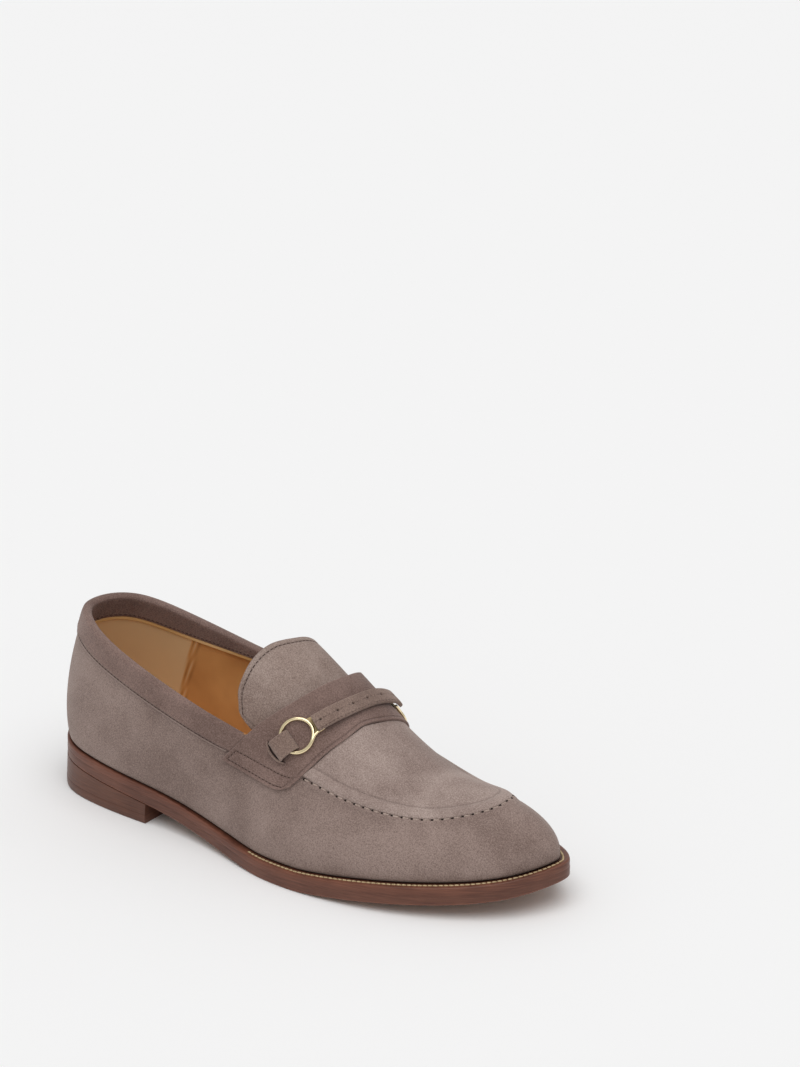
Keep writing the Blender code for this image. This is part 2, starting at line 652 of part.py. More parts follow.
def loop_piece(name, hand):
    """Tab that arches over the outer side of the ring and holds it on the strap."""
    turn = np.linspace(0, np.pi, 13)
    path = np.stack([-RING - 0.6 - 5.2 * np.cos(turn),
                     (WIRE + GAP) * np.minimum(1.0, 1.25 * np.sin(turn))], -1)
    run = np.gradient(path, axis=0)
    run /= np.linalg.norm(run, axis=1, keepdims=True)
    away = np.stack([-run[:, 1], run[:, 0]], -1)
    outer = path + away * LOOP_H
    for flat in (path, outer):
        flat[:, 1] = np.maximum(flat[:, 1], 0.0)
    half = LOOP_W / 2
    sides = []
    for flat in (outer, path):
        sides.append(np.stack([
            placed(hand, np.stack([flat[:, 0], np.full(13, y), flat[:, 1]], -1))
            for y in (-half, 0.0, half)
        ], 1))
    put(name, shell(*sides), SUEDE_DARK, 0.95)


def main():
    for thing in list(bpy.data.objects):
        bpy.data.objects.remove(thing, do_unlink=True)
    sole_pieces()
    heel_pieces()
    upper_piece()
    apron_piece()
    collar_piece()
    tongue_piece()
    strap_piece()
    for side_name, hand in (("lateral", -1), ("medial", 1)):
        ring_piece("bit_ring_" + side_name, hand)
        loop_piece("loop_" + side_name, hand)
    bar_piece()


main()
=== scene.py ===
"""Looks of the bit loafer: finely drawn suede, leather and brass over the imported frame.

The surface of the last is drawn with the same tables and functions as the part's source, in
millimetres, and every piece here is a finer patch of it.
"""
import json
import math

import bmesh
import bpy
import numpy as np
from mathutils import Matrix, Vector

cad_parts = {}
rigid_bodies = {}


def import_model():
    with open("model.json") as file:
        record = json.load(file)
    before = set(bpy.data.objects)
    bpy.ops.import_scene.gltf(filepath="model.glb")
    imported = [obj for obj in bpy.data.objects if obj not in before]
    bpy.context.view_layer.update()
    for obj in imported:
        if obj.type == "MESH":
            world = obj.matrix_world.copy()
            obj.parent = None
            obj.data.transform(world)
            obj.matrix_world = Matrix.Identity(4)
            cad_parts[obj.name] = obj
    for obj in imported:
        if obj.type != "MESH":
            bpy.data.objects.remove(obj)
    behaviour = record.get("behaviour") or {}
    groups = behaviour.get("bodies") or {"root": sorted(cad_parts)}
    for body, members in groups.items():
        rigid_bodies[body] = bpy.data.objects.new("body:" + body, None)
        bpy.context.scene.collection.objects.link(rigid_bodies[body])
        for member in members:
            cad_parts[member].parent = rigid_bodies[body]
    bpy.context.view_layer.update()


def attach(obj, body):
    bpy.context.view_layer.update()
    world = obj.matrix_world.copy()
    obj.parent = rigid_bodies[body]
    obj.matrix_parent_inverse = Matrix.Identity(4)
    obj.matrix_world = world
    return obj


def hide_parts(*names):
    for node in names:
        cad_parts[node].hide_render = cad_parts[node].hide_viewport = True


MM = 0.001
LENGTH = 302.0          # sole, heel to toe
CENTRE_X, CENTRE_Y = 150.5, -2.07    # middle of the shoe's box, which the origin is moved to
GAP = 0.3               # between pieces that meet

OUTSOLE = 4.9           # thicknesses
WELT = 4.2
LIFT = 5.0              # top piece under the heel
WALL = 2.0              # upper, its lining included
STEP = 1.4              # how far the upper drops under the apron
MARGIN = 8.0            # lasting margin turned in under the foot
INSOLE = 2.4
BAND = 1.2              # collar band
BAND_OUT, BAND_IN = 12.5, 13.0
STRAP = 1.6
TONGUE = 1.8
TONGUE_DROP = 3.8       # tongue under the last surface
HEEL_X = 75.0           # heel breast

RING, WIRE = 8.4, 1.8   # bit ring: radius to the middle of the wire, wire
BAR_W, BAR_H = 9.0, 2.0
LOOP_W, LOOP_H = 11.0, 1.2

# Bit. Ring centres: feather station and share of the rib on each side.
BIT_STATION = {-1: 135.6, 1: 157.0}
BIT_SHARE = {-1: 0.668, 1: 0.64}
BIT_LIFT = {-1: 0.0, 1: 0.5}    # more room under the ring
BIT_TURN = {-1: 11.0, 1: -11.0}     # degrees that its axis leans to the toe
# Middle of the bar: place from the lateral to the medial end, station.
BAR_PATH = ((-1.0, 139.0), (-0.5, 142.0), (0.0, 145.3), (0.5, 150.0), (1.0, 154.5))
BAR_SHARE = 0.772       # share of the rib at both ends of the bar
BAR_END = 4.6           # height over the last at its ends and at the crown
BAR_CROWN = 2.9

# Sole outline: distance from the heel, lateral half width, medial half width.
OUTLINE = (
    (0.0, 0.0, 0.0),
    (5.0, 14.8, 16.5),
    (15.0, 25.6, 26.6),
    (35.0, 32.8, 32.6),
    (60.0, 36.0, 32.6),
    (85.0, 37.5, 30.2),
    (110.0, 40.6, 28.0),
    (135.0, 46.5, 28.4),
    (160.0, 53.0, 33.0),
    (185.0, 55.0, 42.0),
    (210.0, 53.2, 49.3),
    (235.0, 47.8, 50.4),
    (258.0, 38.8, 44.6),
    (277.0, 27.6, 35.8),
    (291.0, 14.7, 25.8),
    (299.0, 1.8, 16.9),
    (302.0, -9.2, 9.2),
)

# Underside of the outsole: distance from the heel, height. Level at the tread.
PROFILE = (
    (0.0, 18.1), (35.0, 14.6), (72.0, 10.9), (95.0, 8.0), (115.0, 4.8), (135.0, 1.9),
    (150.0, 0.35), (158.0, 0.0), (182.0, 0.0), (195.0, 1.1), (215.0, 3.2), (235.0, 5.2),
    (255.0, 7.1), (275.0, 9.3), (290.0, 11.9), (302.0, 15.0),
)
TREAD = (158.0, 182.0)

# Welt left showing outside the upper: distance, lateral, medial.
SHELF = (
    (0.0, 1.6, 1.6), (60.0, 1.8, 1.8), (110.0, 2.6, 2.2), (160.0, 4.4, 3.4),
    (210.0, 5.2, 4.6), (260.0, 5.2, 5.0), (302.0, 5.2, 5.2),
)

# Ribs of the last. at: feather station. out_, up_: swell beyond and above the feather.
# lean: swell along x. crown_: top of the rib. side_: shoulder half width. reach: shoulder
# ahead of the crown, along its slope. flat: share by which the top of the arch is widened.
RIB_COLUMNS = (
    "at", "out_l", "up_l", "side_l", "out_m", "up_m", "side_m", "lean",
    "crown_x", "crown_y", "crown_z", "reach", "flat",
)
RIBS = (
    (0.0, 0.0, 27.0, 0.0, 0.0, 27.0, 0.0, -12.0, 45.0, 0.0, 138.0, -21.0, 0.0),
    (30.0, 4.0, 27.0, 31.0, 4.0, 27.0, 31.0, 0.0, 86.0, 0.0, 134.0, -20.5, 0.2),
    (75.0, 3.5, 26.0, 39.0, 4.5, 26.0, 34.5, 4.0, 132.0, 2.5, 118.0, 0.0, 0.45),
    (115.0, 5.0, 25.0, 42.5, 8.0, 25.0, 33.0, 5.0, 164.0, 6.0, 94.5, 0.0, 0.45),
    (150.0, 4.5, 23.0, 42.5, 7.0, 23.0, 30.0, 3.0, 186.0, 7.5, 77.5, 0.0, 0.4),
    (185.0, 3.5, 20.5, 39.5, 5.0, 18.5, 26.0, 2.0, 203.0, 6.0, 67.5, 0.0, 0.2),
    (220.0, 4.0, 18.5, 33.5, 4.0, 13.5, 19.0, 1.0, 218.0, 4.5, 59.5, 0.0, 0.1),
    (255.0, 3.5, 16.0, 26.0, 3.5, 11.0, 14.0, 1.0, 233.0, 5.0, 54.3, 5.0, 0.0),
    (285.0, 2.0, 15.0, 14.5, 3.0, 13.0, 11.5, 2.0, 248.0, 6.5, 52.2, 18.0, 0.0),
    (302.0, 0.0, 14.0, 0.0, 0.0, 14.0, 0.0, 2.5, 256.0, 6.5, 51.0, 25.0, 0.0),
)

# Topline: feather station, height on the lateral and on the medial side. The throat begins before
# the last row, which only closes the curve at the toe.
TOPLINE = (
    (0.0, 97.0, 97.0), (12.0, 95.0, 96.5), (30.0, 89.0, 90.0), (55.0, 80.0, 83.0),
    (80.0, 72.0, 78.0), (100.0, 67.5, 75.0), (112.0, 66.0, 73.0), (120.0, 65.5, 72.0),
    (302.0, 69.0, 69.0),
)
# The throat climbs from the topline to the crown under the saddle strap: station, share of the
# climb on the lateral and on the medial side.
THROAT = (
    (112.0, 0.0, 0.0), (118.0, 0.20, 0.0), (124.0, 0.45, 0.25), (130.0, 0.74, 0.62), (136.0, 1.0, 1.0),
)

# Apron seam: feather station, share of the rib.
SEAM = (
    (0.0, 0.48), (60.0, 0.44), (90.0, 0.435), (112.0, 0.45), (140.0, 0.505), (157.0, 0.53),
    (187.0, 0.535), (220.0, 0.53), (245.0, 0.54), (260.0, 0.565), (272.0, 0.61), (280.0, 0.652),
    (290.0, 0.725), (302.0, 0.825),
)

# Saddle strap. Share of the rib, then stations of the back and front edges: lateral, medial.
SADDLE_COLUMNS = ("share", "back_l", "front_l", "back_m", "front_m")
SADDLE = (
    (0.36, 109.7, 151.0, 120.0, 163.0), (0.46, 111.9, 155.0, 121.0, 169.5),
    (0.58, 113.7, 157.6, 122.5, 174.0), (0.70, 117.0, 158.6, 124.0, 176.0),
    (0.84, 120.2, 160.6, 125.0, 174.5), (0.915, 121.4, 160.6, 124.6, 172.0),
    (1.0, 123.5, 167.5, 123.5, 167.5),
)
# Its lower ends: place between the edges, share of the rib. The front corner is rounded.
SADDLE_END = (
    (0.0, 0.362), (0.3, 0.378), (0.6, 0.394), (0.8, 0.404), (0.92, 0.418), (1.0, 0.458),
)

# Tongue: share of the rib, station of its rounded back edge (lateral, medial) and of its front.
TONGUE_EDGE = (
    (0.525, 112.0, 118.0, 150.0), (0.535, 104.0, 113.5, 155.0), (0.56, 97.0, 109.5, 160.0),
    (0.60, 92.0, 105.5, 164.0), (0.66, 88.0, 101.5, 168.0), (0.74, 85.4, 98.0, 170.0),
    (0.82, 84.8, 95.2, 170.0), (0.91, 86.0, 92.6, 170.0), (1.0, 90.0, 90.0, 170.0),
)


def spline(knots, values, period=None):
    """Cubic spline through the knots, natural at its ends or closed over a period."""
    x, y = np.array(knots, float), np.array(values, float)
    if period:
        x, y = np.append(x, x[0] + period), np.append(y, y[0])
    n, h = len(x), np.diff(x)
    slope = np.diff(y) / h
    a, b = np.zeros((n, n)), np.zeros(n)
    for i in range(1, n - 1):
        a[i, i - 1:i + 2] = h[i - 1], 2 * (h[i - 1] + h[i]), h[i]
        b[i] = 6 * (slope[i] - slope[i - 1])
    if period:
        a[0, [0, 1, n - 2]] = 2 * (h[-1] + h[0]), h[0], h[-1]
        b[0] = 6 * (slope[0] - slope[-1])
        a[n - 1, [0, n - 1]] = 1, -1
    else:
        a[0, 0] = a[n - 1, n - 1] = 1
    bend = np.linalg.solve(a, b)

    def at(where):
        q = np.asarray(where, float)
        if period:
            q = x[0] + np.mod(q - x[0], period)
        i = np.clip(np.searchsorted(x, q, side="right") - 1, 0, n - 2)
        left, right = (x[i + 1] - q) / h[i], (q - x[i]) / h[i]
        curve = (left**3 - left) * bend[i] + (right**3 - right) * bend[i + 1]
        return left * y[i] + right * y[i + 1] + curve * h[i]**2 / 6

    return at


def angle(station, side=-1):
    """Angle round the foot of a station: 0 at the heel, pi at the toe, back on the medial side."""
    turn = np.arccos(np.clip(1 - 2 * np.asarray(station, float) / LENGTH, -1, 1))
    return turn if side < 0 else 2 * np.pi - turn


def station(theta):
    return LENGTH * (1 - np.cos(theta)) / 2


def round_foot(at, lateral, medial):
    """Closed spline of a value given by station on both sides; the ends are shared."""
    lateral_turns = list(angle(at))
    inner = range(len(at) - 2, 0, -1)
    turns = lateral_turns + [2 * math.pi - lateral_turns[i] for i in inner]
    return spline(turns, list(lateral) + [medial[i] for i in inner], 2 * math.pi)


def columns(rows):
    return [list(column) for column in zip(*rows)]


_at, _lateral, _medial = columns(OUTLINE)
edge_y = round_foot(_at, [-value for value in _lateral], _medial)
shelf = round_foot(*columns(SHELF))
_profile = spline(*columns(PROFILE))
LAST = dict(zip(RIB_COLUMNS, columns(RIBS)))
SADDLE_AT = dict(zip(SADDLE_COLUMNS, columns(SADDLE)))


def both(left, right=None, mirror=False):
    """A column, or a lateral and a medial one, of the rib table as a closed spline."""
    lateral = [-v if mirror else v for v in LAST[left]]
    return round_foot(LAST["at"], lateral, LAST[right or left])


out, up = both("out_l", "out_m", True), both("up_l", "up_m")
side, lean, reach = both("side_l", "side_m", True), both("lean"), both("reach")
flat = both("flat")
crown_x, crown_y = both("crown_x"), both("crown_y")
crown_z = spline(LAST["crown_x"], LAST["crown_z"])
_at, _share = columns(SEAM)
seam = round_foot(_at, _share, _share)
topline = round_foot(*columns(TOPLINE))


def ground(x):
    """Underside of the outsole."""
    x = np.asarray(x, float)
    level = (x >= TREAD[0]) & (x <= TREAD[1])
    return np.where(level, 0.0, np.maximum(_profile(x), 0.0))


def feather_z(x):
    return ground(x) + OUTSOLE + GAP + WELT + GAP


def outline(theta, inset=0.0):
    """Sole outline, moved inwards."""
    theta = np.asarray(theta, float)
    step = 1e-4
    ahead = np.stack([station(theta + step), edge_y(theta + step)], -1)
    behind = np.stack([station(theta - step), edge_y(theta - step)], -1)
    run = ahead - behind
    run /= np.linalg.norm(run, axis=-1, keepdims=True)
    inward = np.stack([-run[..., 1], run[..., 0]], -1)
    here = np.stack([station(theta), edge_y(theta)], -1)
    return here + inward * np.asarray(inset)[..., None]


def margin(theta):
    """Lasting margin: it narrows at the toe, where the outline bends most."""
    return MARGIN - 4.8 * np.clip((station(theta) - 280) / 22, 0, 1)


def last(theta, share):
    """Point of the last surface: theta round the foot, share 0 at the feather, 1 at the crown."""
    theta, share = np.broadcast_arrays(np.asarray(theta, float), np.asarray(share, float))
    foot = outline(theta, shelf(theta))
    feather = np.stack([foot[..., 0], foot[..., 1], feather_z(foot[..., 0])], -1)
    swell = feather + np.stack([lean(theta), out(theta), up(theta)], -1)
    x, y, z = crown_x(theta), crown_y(theta), crown_z(crown_x(theta))
    crown = np.stack([x, y, z], -1)
    slope = (crown_z(x + 0.5) - crown_z(x - 0.5))
    shift = reach(theta)
    shoulder = crown + np.stack([shift, side(theta), slope * shift], -1)
    a, b = (1 - share)[..., None], share[..., None]
    point = a**3 * feather + 3 * a**2 * b * swell + 3 * a * b**2 * shoulder + b**3 * crown
    point[..., 1] += (point[..., 1] - y) * flat(theta) * share**4
    return point


def frame(theta, share):
    """Point, unit run round the foot, unit climb towards the crown, and outward normal."""
    share = np.clip(share, 0.003, 0.997)
    run = last(theta + 1e-3, share) - last(theta - 1e-3, share)
    climb = last(theta, share + 1e-3) - last(theta, share - 1e-3)
    normal = np.cross(run, climb)
    far = 2 * np.pi - theta
    opposite = np.cross(last(far + 1e-3, share) - last(far - 1e-3, share),
                        last(far, share + 1e-3) - last(far, share - 1e-3))
    normal = np.where((share > 0.996)[..., None], normal + opposite, normal)
    unit = [v / np.linalg.norm(v, axis=-1, keepdims=True) for v in (run, climb, normal)]
    return [last(theta, share)] + unit


def off(theta, share, distance):
    """Point of the last moved along its normal."""
    normal = frame(theta, share)[3]
    return last(theta, share) + normal * np.asarray(distance, float)[..., None]


def per_mm(theta, share):
    """Share of the rib that one millimetre takes."""
    share = np.clip(share, 0.01, 0.99)
    return 0.02 / np.linalg.norm(last(theta, share + 0.01) - last(theta, share - 0.01), axis=-1)


def turn_per_mm(theta, share):
    """Turn round the foot that one millimetre takes."""
    return 2e-3 / np.linalg.norm(last(theta + 1e-3, share) - last(theta - 1e-3, share), axis=-1)


def top_share(theta):
    """Share of each rib at which the upper ends."""
    theta = np.atleast_1d(np.asarray(theta, float))
    x = station(theta)
    low, high = np.full(theta.shape, 0.2), np.full(theta.shape, 0.8)
    wanted = topline(theta)
    for _ in range(30):
        middle = (low + high) / 2
        under = last(theta, middle)[..., 2] < wanted
        low, high = np.where(under, middle, low), np.where(under, high, middle)
    at, lateral, medial = columns(THROAT)
    climb = np.where(theta <= np.pi, np.interp(x, at, lateral), np.interp(x, at, medial))
    return low + (1 - low) * climb


def placed(hand, flat):
    """Points (along the bit, across it, height over the strap), given from the ring's middle.

    The ring is level. Beyond it the horns and the web bend with the instep.
    """
    flat = np.asarray(flat, float)
    along, across, high = flat[..., 0], flat[..., 1], flat[..., 2]
    blend = np.clip((along - 2) / 8, 0, 1)
    blend = (blend**2 * (3 - 2 * blend))[..., None]
    high = high + GAP + STRAP + GAP + BIT_LIFT[hand]
    turn, share = angle(BIT_STATION[hand], hand), np.array(BIT_SHARE[hand])
    point, run, climb, normal = frame(turn, share)
    ahead = -hand * run
    slant = climb.dot(ahead)
    toward = climb - slant * ahead
    size = np.linalg.norm(toward)
    lean_ = math.radians(BIT_TURN[hand])
    along, across = (along * math.cos(lean_) - across * math.sin(lean_),
                     along * math.sin(lean_) + across * math.cos(lean_))
    level = point + (along[..., None] * toward / size + across[..., None] * ahead
                     + high[..., None] * normal)
    turned = turn - hand * (across - along * slant / size) * turn_per_mm(turn, share)
    bent = off(turned, share + along / size * per_mm(turn, share), high)
    return level * (1 - blend) + bent * blend


def over_crown(theta, share, height):
    """Like off, for a share that may run past the crown and down the other side."""
    past = share > 1
    return off(np.where(past, 2 * np.pi - theta, theta), np.where(past, 2 - share, share), height)


def bar_grid(places, across, rise):
    """Points of the bar: place from end to end, distance across it, height over its underside."""
    path = spline(*columns(BAR_PATH))
    share = 1 - (1 - BAR_SHARE) * np.abs(places)
    theta = np.where(places < 0, angle(path(places)), angle(path(places), 1))
    point, run, climb, normal = frame(theta, share)
    ahead = np.gradient(point, axis=0)
    square = np.cross(ahead, normal)
    square /= np.linalg.norm(square, axis=1, keepdims=True)
    square *= np.sign(square[:, :1])
    # Steps along the run and the climb that add up to one millimetre straight across.
    lean_ = (run * climb).sum(1)
    along_run, along_climb = (square * run).sum(1), (square * climb).sum(1)
    step_run = (along_run - lean_ * along_climb) / (1 - lean_**2)
    step_climb = (along_climb - lean_ * along_run) / (1 - lean_**2)
    high = BAR_CROWN + (BAR_END - BAR_CROWN) * np.minimum(1, np.abs(places) / 0.75)**2
    turns = theta[:, None] + np.outer(step_run * turn_per_mm(theta, share), across)
    shares = share[:, None] + np.outer(step_climb * per_mm(theta, share), across)
    return over_crown(turns, shares, high[:, None] + rise)


STEP_FROM, STEP_RUN = 157.0, 9.0        # station where the upper steps down, and over what length
GRIP_AT, GRIP_LEAN = 46.0, 10.0         # station of the heel grip's edge at the foot, its lean
SEAM_PITCH = 5.0                        # holes of the apron seam
WELT_SEAM_FROM = 149.0                  # station where the welt's stitches start on each side
HEEL_JOINTS = (0.0, 0.36, 0.72, 1.0)    # layers of the heel, as shares of its height

# Rolled edge of the apron: distance above its foot, height over the last.
APRON_ROLL = (
    (-0.75, -0.1), (-0.80, 0.45), (-0.62, 0.80), (-0.25, 1.12), (0.25, 1.38), (0.9, 1.54), (1.7, 1.60),
    (2.7, 1.54), (3.6, 1.36), (4.4, 1.06), (5.0, 0.78), (5.5, 0.54), (5.9, 0.44), (6.4, 0.48), (7.2, 0.54),
)
# Horn of a ring and the slit behind it: along the bit from the ring's middle, across to the toe.
HORN = (
    (-7.3, 4.6), (-5.0, 7.0), (-1.8, 8.45), (1.6, 8.5), (4.2, 7.55), (6.0, 6.35), (7.6, 5.5), (9.4, 5.15),
    (11.2, 5.2), (12.8, 5.3),
)
SLIT = ((-13.6, -7.2), (-15.0, -3.6), (-15.3, 0.2), (-14.6, 3.8), (-12.6, 7.4))
# Soft creases: station, share of the rib, length up the rib, width round the foot, height, side.
CREASES = (
    (168.0, 0.30, 9.0, 3.2, -0.35, -1),
    (176.0, 0.36, 8.0, 3.0, -0.28, -1),
    (70.0, 0.36, 10.0, 7.0, -0.45, -1),
    (92.0, 0.30, 10.0, 9.0, 0.30, -1),
    (172.0, 0.30, 9.0, 3.2, -0.35, 1),
    (60.0, 0.34, 10.0, 8.0, -0.40, 1),
)

# Camera from the heel's back, as the tables are. It stands where the photograph was taken from.
CAMERA_MM = (1074.1, -1235.3, 756.9)
CAMERA_RIGHT = (0.8192, 0.5736, 0.0)
CAMERA_UP = (-0.2056, 0.2936, 0.9336)
CAMERA_BACK = (0.5355, -0.7648, 0.3584)
LENS = 112.71
HORIZON, ZENITH = 0.46, 0.60    # brightness of the room
KEY_POWER, KEY_WIDTH = 1.35, 60.0    # strength and angle of the soft key light
KEY_FROM = (0.20, -0.30, 1.1)


def smooth(x):
    x = np.clip(x, 0, 1)
    return x * x * (3 - 2 * x)


def bell(x):
    return np.exp(-np.asarray(x, float)**2)


def link(name, data):
    """Object of the data, linked to the scene."""
    thing = bpy.data.objects.new(name, data)
    bpy.context.scene.collection.objects.link(thing)
    return thing


def build(name, patches, looks, slot, *nodes, marks=(), sharp=38, weld=0.002):
    """Mesh object from grids of points in millimetres, each alone or with its material index.

    It takes the place of the nodes. The marks belong to the first patches, a value a point. Points
    nearer than the weld join.
    """
    points, quads, paints, notes = [], [], [], []
    start = 0
    for k, patch in enumerate(patches):
        grid, paint = patch if isinstance(patch, tuple) else (patch, 0)
        n, m = grid.shape[:2]
        index = start + np.arange(n * m).reshape(n, m)
        quad = np.stack([index[:-1, :-1], index[:-1, 1:], index[1:, 1:], index[1:, :-1]], -1)
        points.append(grid.reshape(-1, 3))
        quads.append(quad.reshape(-1, 4))
        paints.append(np.full(quad.size // 4, paint))
        notes.append(np.reshape(marks[k] if k < len(marks) else np.zeros(n * m), -1))
        start += n * m
    points = np.concatenate(points) - [CENTRE_X, CENTRE_Y, 0]
    quads, paints, notes = np.concatenate(quads), np.concatenate(paints), np.concatenate(notes)
    key = np.round(points / weld).astype(np.int64)
    _, first, index = np.unique(key, axis=0, return_index=True, return_inverse=True)
    faces, kept = [], []
    for quad, paint in zip(index.reshape(-1)[quads].tolist(), paints.tolist()):
        face = list(dict.fromkeys(quad))
        if len(face) > 2:
            faces.append(face)
            kept.append(paint)
    mesh = bpy.data.meshes.new(name)
    mesh.from_pydata((points[first] * MM).tolist(), [], faces)
    mesh.polygons.foreach_set("material_index", np.array(kept, np.int32))
    mark = mesh.attributes.new("mark", "FLOAT", "POINT")
    mark.data.foreach_set("value", notes[first].astype(np.float32))
    for look in looks:
        mesh.materials.append(look)
    mesh.shade_smooth()
    mesh.set_sharp_from_angle(angle=math.radians(sharp))
    mesh.update()
    thing = link(name, mesh)
    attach(thing, "root")
    if nodes:
        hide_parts(*nodes)
    return thing


def face_out(thing):
    """Turns a closed mesh's faces outwards."""
    net = bmesh.new()
    net.from_mesh(thing.data)
    bmesh.ops.recalc_face_normals(net, faces=net.faces)
    net.to_mesh(thing.data)
    net.free()


def plate(outer, inner, slot=0, under=None):
    """Closed plate between two grids of one size."""
    under = slot if under is None else under
    return [
        (outer, slot), (inner[:, ::-1], under),
        (np.stack([inner[0], outer[0]]), slot), (np.stack([outer[-1], inner[-1]]), slot),
        (np.stack([outer[:, 0], inner[:, 0]]), slot), (np.stack([inner[:, -1], outer[:, -1]]), slot),
    ]


def rounded(distance, radius):
    """Drop of a rounded edge at a distance from it."""
    d = np.clip(distance, 0, radius)
    return radius - np.sqrt(np.maximum(radius**2 - (radius - d)**2, 0))


def along(points):
    return np.concatenate([[0], np.cumsum(np.linalg.norm(np.diff(points, axis=0), axis=1))])


def joined(lateral, medial):
    """Rows from the lateral end over the crown, which both halves share, to the medial end."""
    return np.concatenate([lateral, medial[::-1][1:]])


def threads(name, runs, look, slot, pitch, length, radius, sink=0.35, squash=0.8):
    """Stitches along runs of (points, normals): short rounded threads sunk a little."""
    ring, rows = 8, 7
    lengthwise = -np.cos(np.linspace(0, np.pi, rows))[:, None, None]
    girth = np.sin(np.linspace(0, np.pi, rows))[:, None, None]**0.6
    turn = np.linspace(0, 2 * np.pi, ring + 1)[None, :, None]
    patches = []
    for points, normals in runs:
        s = along(points)

        def sample(values, at):
            return np.array([np.interp(at, s, values[:, i]) for i in range(3)])

        count = max(1, int(s[-1] / pitch))
        for at in (np.arange(count) + 0.5) * s[-1] / count:
            up_ = sample(normals, at)
            up_ /= np.linalg.norm(up_)
            ahead = sample(points, at + 0.4) - sample(points, at - 0.4)
            ahead -= ahead.dot(up_) * up_
            ahead /= np.linalg.norm(ahead)
            swell = np.cos(turn) * np.cross(up_, ahead) + squash * np.sin(turn) * up_
            middle = sample(points, at) - up_ * radius * sink
            patches.append(middle + lengthwise * ahead * length / 2 + girth * radius * swell)
    build(name, patches, [look], slot, sharp=80)


def tube(points, radius, count=16):
    """Grid round a line of points, with closed ends."""
    points = np.asarray(points, float)
    run = np.gradient(points, axis=0)
    run /= np.linalg.norm(run, axis=1, keepdims=True)
    side_ = np.cross(run[0], [0.0, 0.0, 1.0])
    side_ /= np.linalg.norm(side_)
    rows = []
    radius = np.broadcast_to(radius, len(points))
    turn = np.linspace(0, 2 * np.pi, count + 1)
    for point, ahead, r in zip(points, run, radius):
        side_ = side_ - side_.dot(ahead) * ahead
        side_ /= np.linalg.norm(side_)
        up_ = np.cross(side_, ahead)
        rows.append(point + r * (np.cos(turn)[:, None] * side_ + np.sin(turn)[:, None] * up_))
    rows = np.array(rows)
    ends = [np.repeat(points[i][None], count + 1, 0) for i in (0, -1)]
    return np.concatenate([[ends[0]], rows, [ends[1]]])


class Nodes:
    """Short hand for one material's node tree."""

    def __init__(self, name):
        self.material = bpy.data.materials.new(name)
        self.material.use_nodes = True
        self.tree = self.material.node_tree
        self.shader = self.tree.nodes["Principled BSDF"]
        self.place = self.tree.nodes.new("ShaderNodeTexCoord").outputs["Object"]

    def node(self, kind, inputs=None, **settings):
        made = self.tree.nodes.new(kind)
        for key, value in settings.items():
            setattr(made, key, value)
        for key, value in (inputs or {}).items():
            self.put(made.inputs[key], value)
        return made

    def put(self, socket, value):
        if isinstance(value, bpy.types.NodeSocket):
            self.tree.links.new(value, socket)
        else:
            socket.default_value = value

    def stretch(self, scale):
        return self.node("ShaderNodeMapping", {"Vector": self.place, "Scale": scale}).outputs[0]

    def noise(self, scale, detail=2.0, rough=0.5, where=None, distortion=0.0):
        made = self.node("ShaderNodeTexNoise", {
            "Vector": where or self.place, "Scale": scale, "Detail": detail, "Roughness": rough,
            "Distortion": distortion,
        })
        return made.outputs["Fac"]

    def math(self, kind, a, b=None, clamp=False):
        made = self.node("ShaderNodeMath", operation=kind, use_clamp=clamp)
        self.put(made.inputs[0], a)
        if b is not None:
            self.put(made.inputs[1], b)
        return made.outputs[0]

    def ramp(self, value, low, high):
        made = self.node("ShaderNodeMapRange", {"Value": value, "From Min": low, "From Max": high})
        return made.outputs[0]

    def mix(self, share, a, b):
        made = self.node("ShaderNodeMix", data_type="RGBA")
        for key, value in ((0, share), (6, a), (7, b)):
            self.put(made.inputs[key], value)
        return made.outputs[2]

    def marked(self, colour, share, deep, pale):
        """The colour, deeper where the mesh's mark is positive and pale where it is negative."""
        mark = self.node("ShaderNodeAttribute", attribute_name="mark").outputs["Fac"]
        colour = self.mix(self.math("MULTIPLY", mark, share, True), colour, deep)
        return self.mix(self.math("MULTIPLY", mark, -1.0, True), colour, pale)

    def bump(self, height, distance, strength=1.0, onto=None):
        made = self.node("ShaderNodeBump", {"Height": height, "Distance": distance, "Strength": strength})
        if onto is not None:
            self.put(made.inputs["Normal"], onto)
        return made.outputs["Normal"]

    def set(self, **values):
        for key, value in values.items():
            self.put(self.shader.inputs[key.replace("_", " ")], value)
        return self.material


def lighter(colour, by):
    return tuple(min(1.0, v * by) for v in colour[:3]) + (1.0,)


def rgb(*shown):
    """Colour on the screen, 0 to 255, as the shader's linear light."""
    return tuple(v / 255 / 12.92 if v <= 10 else ((v / 255 + 0.055) / 1.055)**2.4 for v in shown) + (1.0,)


